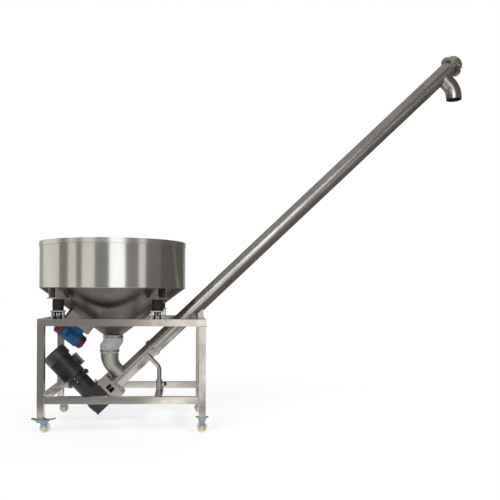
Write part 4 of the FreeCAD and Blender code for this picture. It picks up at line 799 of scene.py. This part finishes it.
# %% Gearbox and motor fittings
GEAR_SIDE, GEAR_TOP = -68.0, 105.0
PLUGS, OIL_GLASS, BREATHER_AT = ((-230, -54), (-108, 80)), (-112, -30), -99
plug = bolt(17, 7)
plugs = [(plug, aim(on_tube(along, above, GEAR_SIDE), -Y)) for along, above in PLUGS]
piece("gearbox_plugs", gather(plugs), black_enamel, "frame")
sight_place = aim(on_tube(*OIL_GLASS, GEAR_SIDE), -Y)
sight_ring = turned([(9, 0), (14, 0), (14, 4), (12, 6), (9, 6)], 36)
piece("oil_glass_ring", gather([(sight_ring, sight_place)]), bright_steel, "frame")
sight = turned([(0, 0), (9, 0), (9, 3), (6, 4.2), (0, 4.6)], 36)
piece("oil_glass", gather([(sight, sight_place)]), red_plastic, "frame")
breather = turned([(0, 0), (8, 0), (8, 6), (5, 7), (5, 12), (8, 14), (8, 20), (5, 23), (0, 24)], 24)
breather_place = aim(on_tube(BREATHER_AT, GEAR_TOP), ABOVE_TUBE)
piece("gearbox_breather", gather([(breather, breather_place)]), bright_steel, "frame")

FAN_END, FAN_RADIUS, FAN_SCREWS_AT = 502.0, 98.0, 434.0
RING_WIDTH, RING_HEIGHT = 4, 2
grille = []
for r in range(18, 92, 10):
    ring = turned([(r, 0), (r + RING_WIDTH, 0), (r + RING_WIDTH, RING_HEIGHT), (r, RING_HEIGHT)], 64)
    grille.append((ring, aim(on_tube(MOTOR_AT, FAN_END), ABOVE_TUBE)))
piece("fan_grille_rings", gather(grille), motor_paint, "frame")
BOX_LID, BOX_SCREWS = -71.0, ((293, -41), (293, 41), (375, -41), (375, 41))
motor_screws = [(small, aim(on_tube(BOX_LID, w, y), ALONG_TUBE)) for w, y in BOX_SCREWS]
for degrees in (45, 135, 225, 315):
    outward = ALONG_TUBE * math.cos(math.radians(degrees)) + Y * math.sin(math.radians(degrees))
    motor_screws.append((small, aim(on_tube(MOTOR_AT, FAN_SCREWS_AT) + outward * FAN_RADIUS * MM, outward)))
piece("motor_screws", gather(motor_screws), bright_steel, "frame")
blank_plug = turned([(0, 0), (9, 0), (9, 12), (6, 15), (0, 16)], 24)
GLAND = (-86, 310, -49)
gland_place = aim(on_tube(*GLAND), -Y)
gland = gather([(hexagon(22, 7), gland_place), (blank_plug, gland_place)])
piece("blank_gland", gland, black_plastic, "frame")
nipple = turned([(0, -1), (5, -1), (5, 4), (3, 5), (3, 9), (4, 10), (3, 13), (0, 14)], 20)
CAP_END = 3684.0
nipple_place = aim(on_tube(CAP_END), ALONG_TUBE)
piece("grease_nipple", gather([(nipple, nipple_place)]), bright_steel, "frame")

# %% [markdown]
# ## Fittings of the vibration motor
# Its cast case has a small terminal lid with four screws and a raised band near each end, and each
# end cover is held by four screws. They all take their place from the joint of the motor's shaft.

# %% Vibration motor fittings
spin = joints["vibrator_spin"]
CASE_MIDDLE, CASE_AXIS = Vector(spin["pos_m"]), Vector(spin["axis"]).normalized()
CASE_RADIUS, CASE_LENGTH, COVER_LENGTH = 58.0, 150.0, 46.0
cover_end = (CASE_LENGTH / 2 + COVER_LENGTH) * MM
COVER_SCREW_CIRCLE, HATCH_SUNK, BAND_RISE, BAND_HALF, BAND_AT = 36, 4, 2.5, 4, 70
cover_screws = []
for side in (-1, 1):
    cover_face = CASE_MIDDLE + CASE_AXIS * side * cover_end
    cover_screws += [(small, p) for p in circle_of(cover_face, CASE_AXIS * side, COVER_SCREW_CIRCLE, 4)]
facing = (CASE_AXIS * CASE_AXIS.y - Y).normalized()
hatch = aim(CASE_MIDDLE + facing * (CASE_RADIUS - HATCH_SUNK) * MM, facing, CASE_AXIS)
HATCH = (58, 44, 18)
hatch_screws = [(small, hatch @ Matrix.Translation(Vector((x, y, HATCH[2])) * MM))
                for x in (-22, 22) for y in (-15, 15)]
band_inner, band_outer = CASE_RADIUS - 1, CASE_RADIUS + BAND_RISE
band = turned([(band_inner, -BAND_HALF), (band_outer, -BAND_HALF), (band_outer, BAND_HALF),
               (band_inner, BAND_HALF)], 64)
bands = [(band, aim(CASE_MIDDLE + CASE_AXIS * at * MM, CASE_AXIS)) for at in (-BAND_AT, BAND_AT)]
piece("vibrator_hatch_and_bands", gather([(block(HATCH, 2.5), hatch)] + bands + hatch_screws), blue_enamel,
      "hopper")
piece("vibrator_screws", gather(cover_screws), bright_steel, "hopper")

# %% [markdown]
# ## The studio
# The machine stands on a pale floor before a white background. The white is the background's own
# colour, seen by the camera and in reflections, so it adds no light to the machine. Near the machine
# less of that white is mixed into the floor, so that the shadow on it shows.

# %% Floor and world
def seen_or_mirrored(tree):
    """1 for rays that show the background to the camera, straight, in a mirror or through glass."""
    rays = add(tree, "LightPath")
    either = add(tree, "Math", {"operation": "MAXIMUM"}, i0=rays.outputs["Is Camera Ray"],
                 i1=rays.outputs["Is Glossy Ray"])
    any_ray = add(tree, "Math", {"operation": "MAXIMUM"}, i0=either.outputs[0],
                  i1=rays.outputs["Is Transmission Ray"])
    return any_ray.outputs[0]


world = bpy.data.worlds.new("studio")
scene.world = world
world.use_nodes = True
tree = world.node_tree
tree.nodes.clear()
SKY_TINT, SKY_STRENGTH = (0.93, 0.95, 1.0, 1.0), 0.45
lit = add(tree, "Background", Color=SKY_TINT, Strength=SKY_STRENGTH)
white = add(tree, "Background", Color=(1, 1, 1, 1), Strength=1.0)
mix = add(tree, "MixShader", i0=seen_or_mirrored(tree), i1=lit.outputs[0], i2=white.outputs[0])
add(tree, "OutputWorld", Surface=mix.outputs[0])

WHITE_NEAR, WHITE_FAR = 0.72, 1.0
FLOOR_FADE = (1.3, 2.6)
floor_mesh = bmesh.new()
bmesh.ops.create_circle(floor_mesh, cap_ends=True, segments=64, radius=30)
floor = piece("studio_floor", floor_mesh, bpy.data.materials.new("studio_floor"), None, smooth=False)
made.remove("studio_floor")
material = floor.data.materials[0]
material.use_nodes = True
tree = material.node_tree
tree.nodes.clear()
paint = add(tree, "BsdfDiffuse", Color=linear("fafafa"))
glow = add(tree, "Emission", Color=(1, 1, 1, 1), Strength=1.0)
away = add(tree, "VectorMath", {"operation": "LENGTH"}, i0=add(tree, "TexCoord").outputs["Object"])
share = add(tree, "MapRange", Value=away.outputs["Value"], From_Min=FLOOR_FADE[0], From_Max=FLOOR_FADE[1],
            To_Min=WHITE_NEAR, To_Max=WHITE_FAR)
share = add(tree, "Math", {"operation": "MULTIPLY"}, i0=seen_or_mirrored(tree), i1=share.outputs["Result"])
mix = add(tree, "MixShader", i0=share.outputs[0], i1=paint.outputs[0], i2=glow.outputs[0])
add(tree, "OutputMaterial", Surface=mix.outputs[0])

# %% [markdown]
# ## Lamps, and cards for the reflections
# Three large soft lamps light the machine. Bright metal shows what stands around it, and a lamp
# would be a hard spot there, so the lamps are left out of reflections. Cards take their place: tall
# ones in a ring, pale, grey and dark, with one bright window, mats on the floor and a skylight. They
# are seen only in reflections, where they draw the bands on the drum and make the left half of the
# frame darker than the right.

# %% Lamps and cards
OBJECT_MIDDLE = Vector((0, 0, 1.2))


def soft_lamp(name, place, size, power, colour="ffffff"):
    """A large square lamp that faces the machine."""
    lamp = bpy.data.lights.new(name, "AREA")
    lamp.shape = "RECTANGLE"
    lamp.size, lamp.size_y = size
    lamp.energy = power
    lamp.color = linear(colour)[:3]
    obj = bpy.data.objects.new(name, lamp)
    scene.collection.objects.link(obj)
    obj.location = place
    obj.rotation_mode = "QUATERNION"
    obj.rotation_quaternion = (OBJECT_MIDDLE - Vector(place)).to_track_quat("-Z", "Y")
    obj.visible_glossy = False


soft_lamp("key_lamp", (-3.5, -5.0, 4.5), (2.5, 2.5), 260)
soft_lamp("fill_lamp", (3.5, -4.0, 6.0), (3.0, 2.0), 200)
soft_lamp("rear_lamp", (0.5, 5.5, 5.0), (4.0, 2.0), 180)

# A card's two numbers are the directions, in degrees from -Y towards +X, between which it stands.
# A mat starts beside the machine and runs out over the floor, and a wall stands behind it. The
# upright drum mirrors the walls, the low rails mirror the mats, and the tube mirrors the skylight.
PALE, LIGHT, MIDDLE, DUSK, DARK, WINDOW = "ddd8d2", "a2a4a0", "80807f", "73706d", "5f5c59", "ffffff"
WALLS = ((-180, -126, LIGHT), (-126, -81, PALE), (-81, -64, MIDDLE), (-64, -50, PALE), (-50, -41, MIDDLE),
         (-41, -21, PALE), (-21, 0, MIDDLE), (0, 23, WINDOW), (23, 43, MIDDLE), (43, 54, PALE),
         (54, 81, DUSK), (81, 149, DARK), (149, 180, LIGHT))
MATS = ((-180, -60, DUSK), (-60, 5, MIDDLE), (5, 11, LIGHT), (11, 24, WINDOW), (24, 180, DUSK))
SKYLIGHTS = ((-24, 16, WINDOW),)
WALL_PROFILE = ((7.0, 0.02), (7.0, 3.2))
MAT_PROFILE = ((1.15, 0.02), (7.0, 0.02))
SKYLIGHT_PROFILE = ((6.9, 3.2), (6.9, 5.6))
WALL_TOP, WINDOW_STRENGTH, SKYLIGHT_STRENGTH = 7.6, 1.25, 2.6
DEGREES_PER_STEP = 4


def studio_card(name, card_mesh, tone, strength=1.0):
    """A card that glows with its own colour and is seen only in reflections."""
    paint = bpy.data.materials.new(name)
    paint.use_nodes = True
    paint.node_tree.nodes.clear()
    glow = add(paint.node_tree, "Emission", Color=linear(tone), Strength=strength)
    add(paint.node_tree, "OutputMaterial", Surface=glow.outputs[0])
    card = piece(name, card_mesh, paint, None, smooth=False)
    made.remove(name)
    card.location = (HOPPER_X, 0, 0)
    card.visible_camera = False
    card.visible_diffuse = False
    card.visible_shadow = False
    card.visible_transmission = False


standing = [(WALL_PROFILE, WINDOW_STRENGTH, card) for card in WALLS]
standing += [(MAT_PROFILE, WINDOW_STRENGTH, card) for card in MATS]
standing += [(SKYLIGHT_PROFILE, SKYLIGHT_STRENGTH, card) for card in SKYLIGHTS]
for number, (profile, window_glow, (left, right, tone)) in enumerate(standing):
    card_mesh = bmesh.new()
    start = Matrix.Rotation(math.radians(left), 4, "Z")
    corners = [card_mesh.verts.new(start @ Vector((0, -away, height))) for away, height in profile]
    edges = [card_mesh.edges.new(pair) for pair in zip(corners, corners[1:])]
    steps = max(2, round((right - left) / DEGREES_PER_STEP))
    bmesh.ops.spin(card_mesh, geom=corners + edges, axis=(0, 0, 1), cent=(0, 0, 0), steps=steps,
                   angle=math.radians(right - left), use_duplicate=False)
    studio_card(f"studio_card_{number}", card_mesh, tone, window_glow if tone == WINDOW else 1.0)
wall_radius, wall_foot = WALL_PROFILE[-1]
wall = bmesh.new()
wall_middle = Matrix.Translation((0, 0, (WALL_TOP + wall_foot) / 2))
bmesh.ops.create_cone(wall, cap_ends=False, segments=64, radius1=wall_radius, radius2=wall_radius,
                      depth=WALL_TOP - wall_foot, matrix=wall_middle)
studio_card("studio_upper_wall", wall, DARK)
ceiling = bmesh.new()
bmesh.ops.create_circle(ceiling, cap_ends=True, segments=64, radius=wall_radius,
                        matrix=Matrix.Translation((0, 0, WALL_TOP)))
studio_card("studio_ceiling", ceiling, LIGHT)

scene.view_settings.view_transform = "Standard"
print("new pieces:", made)
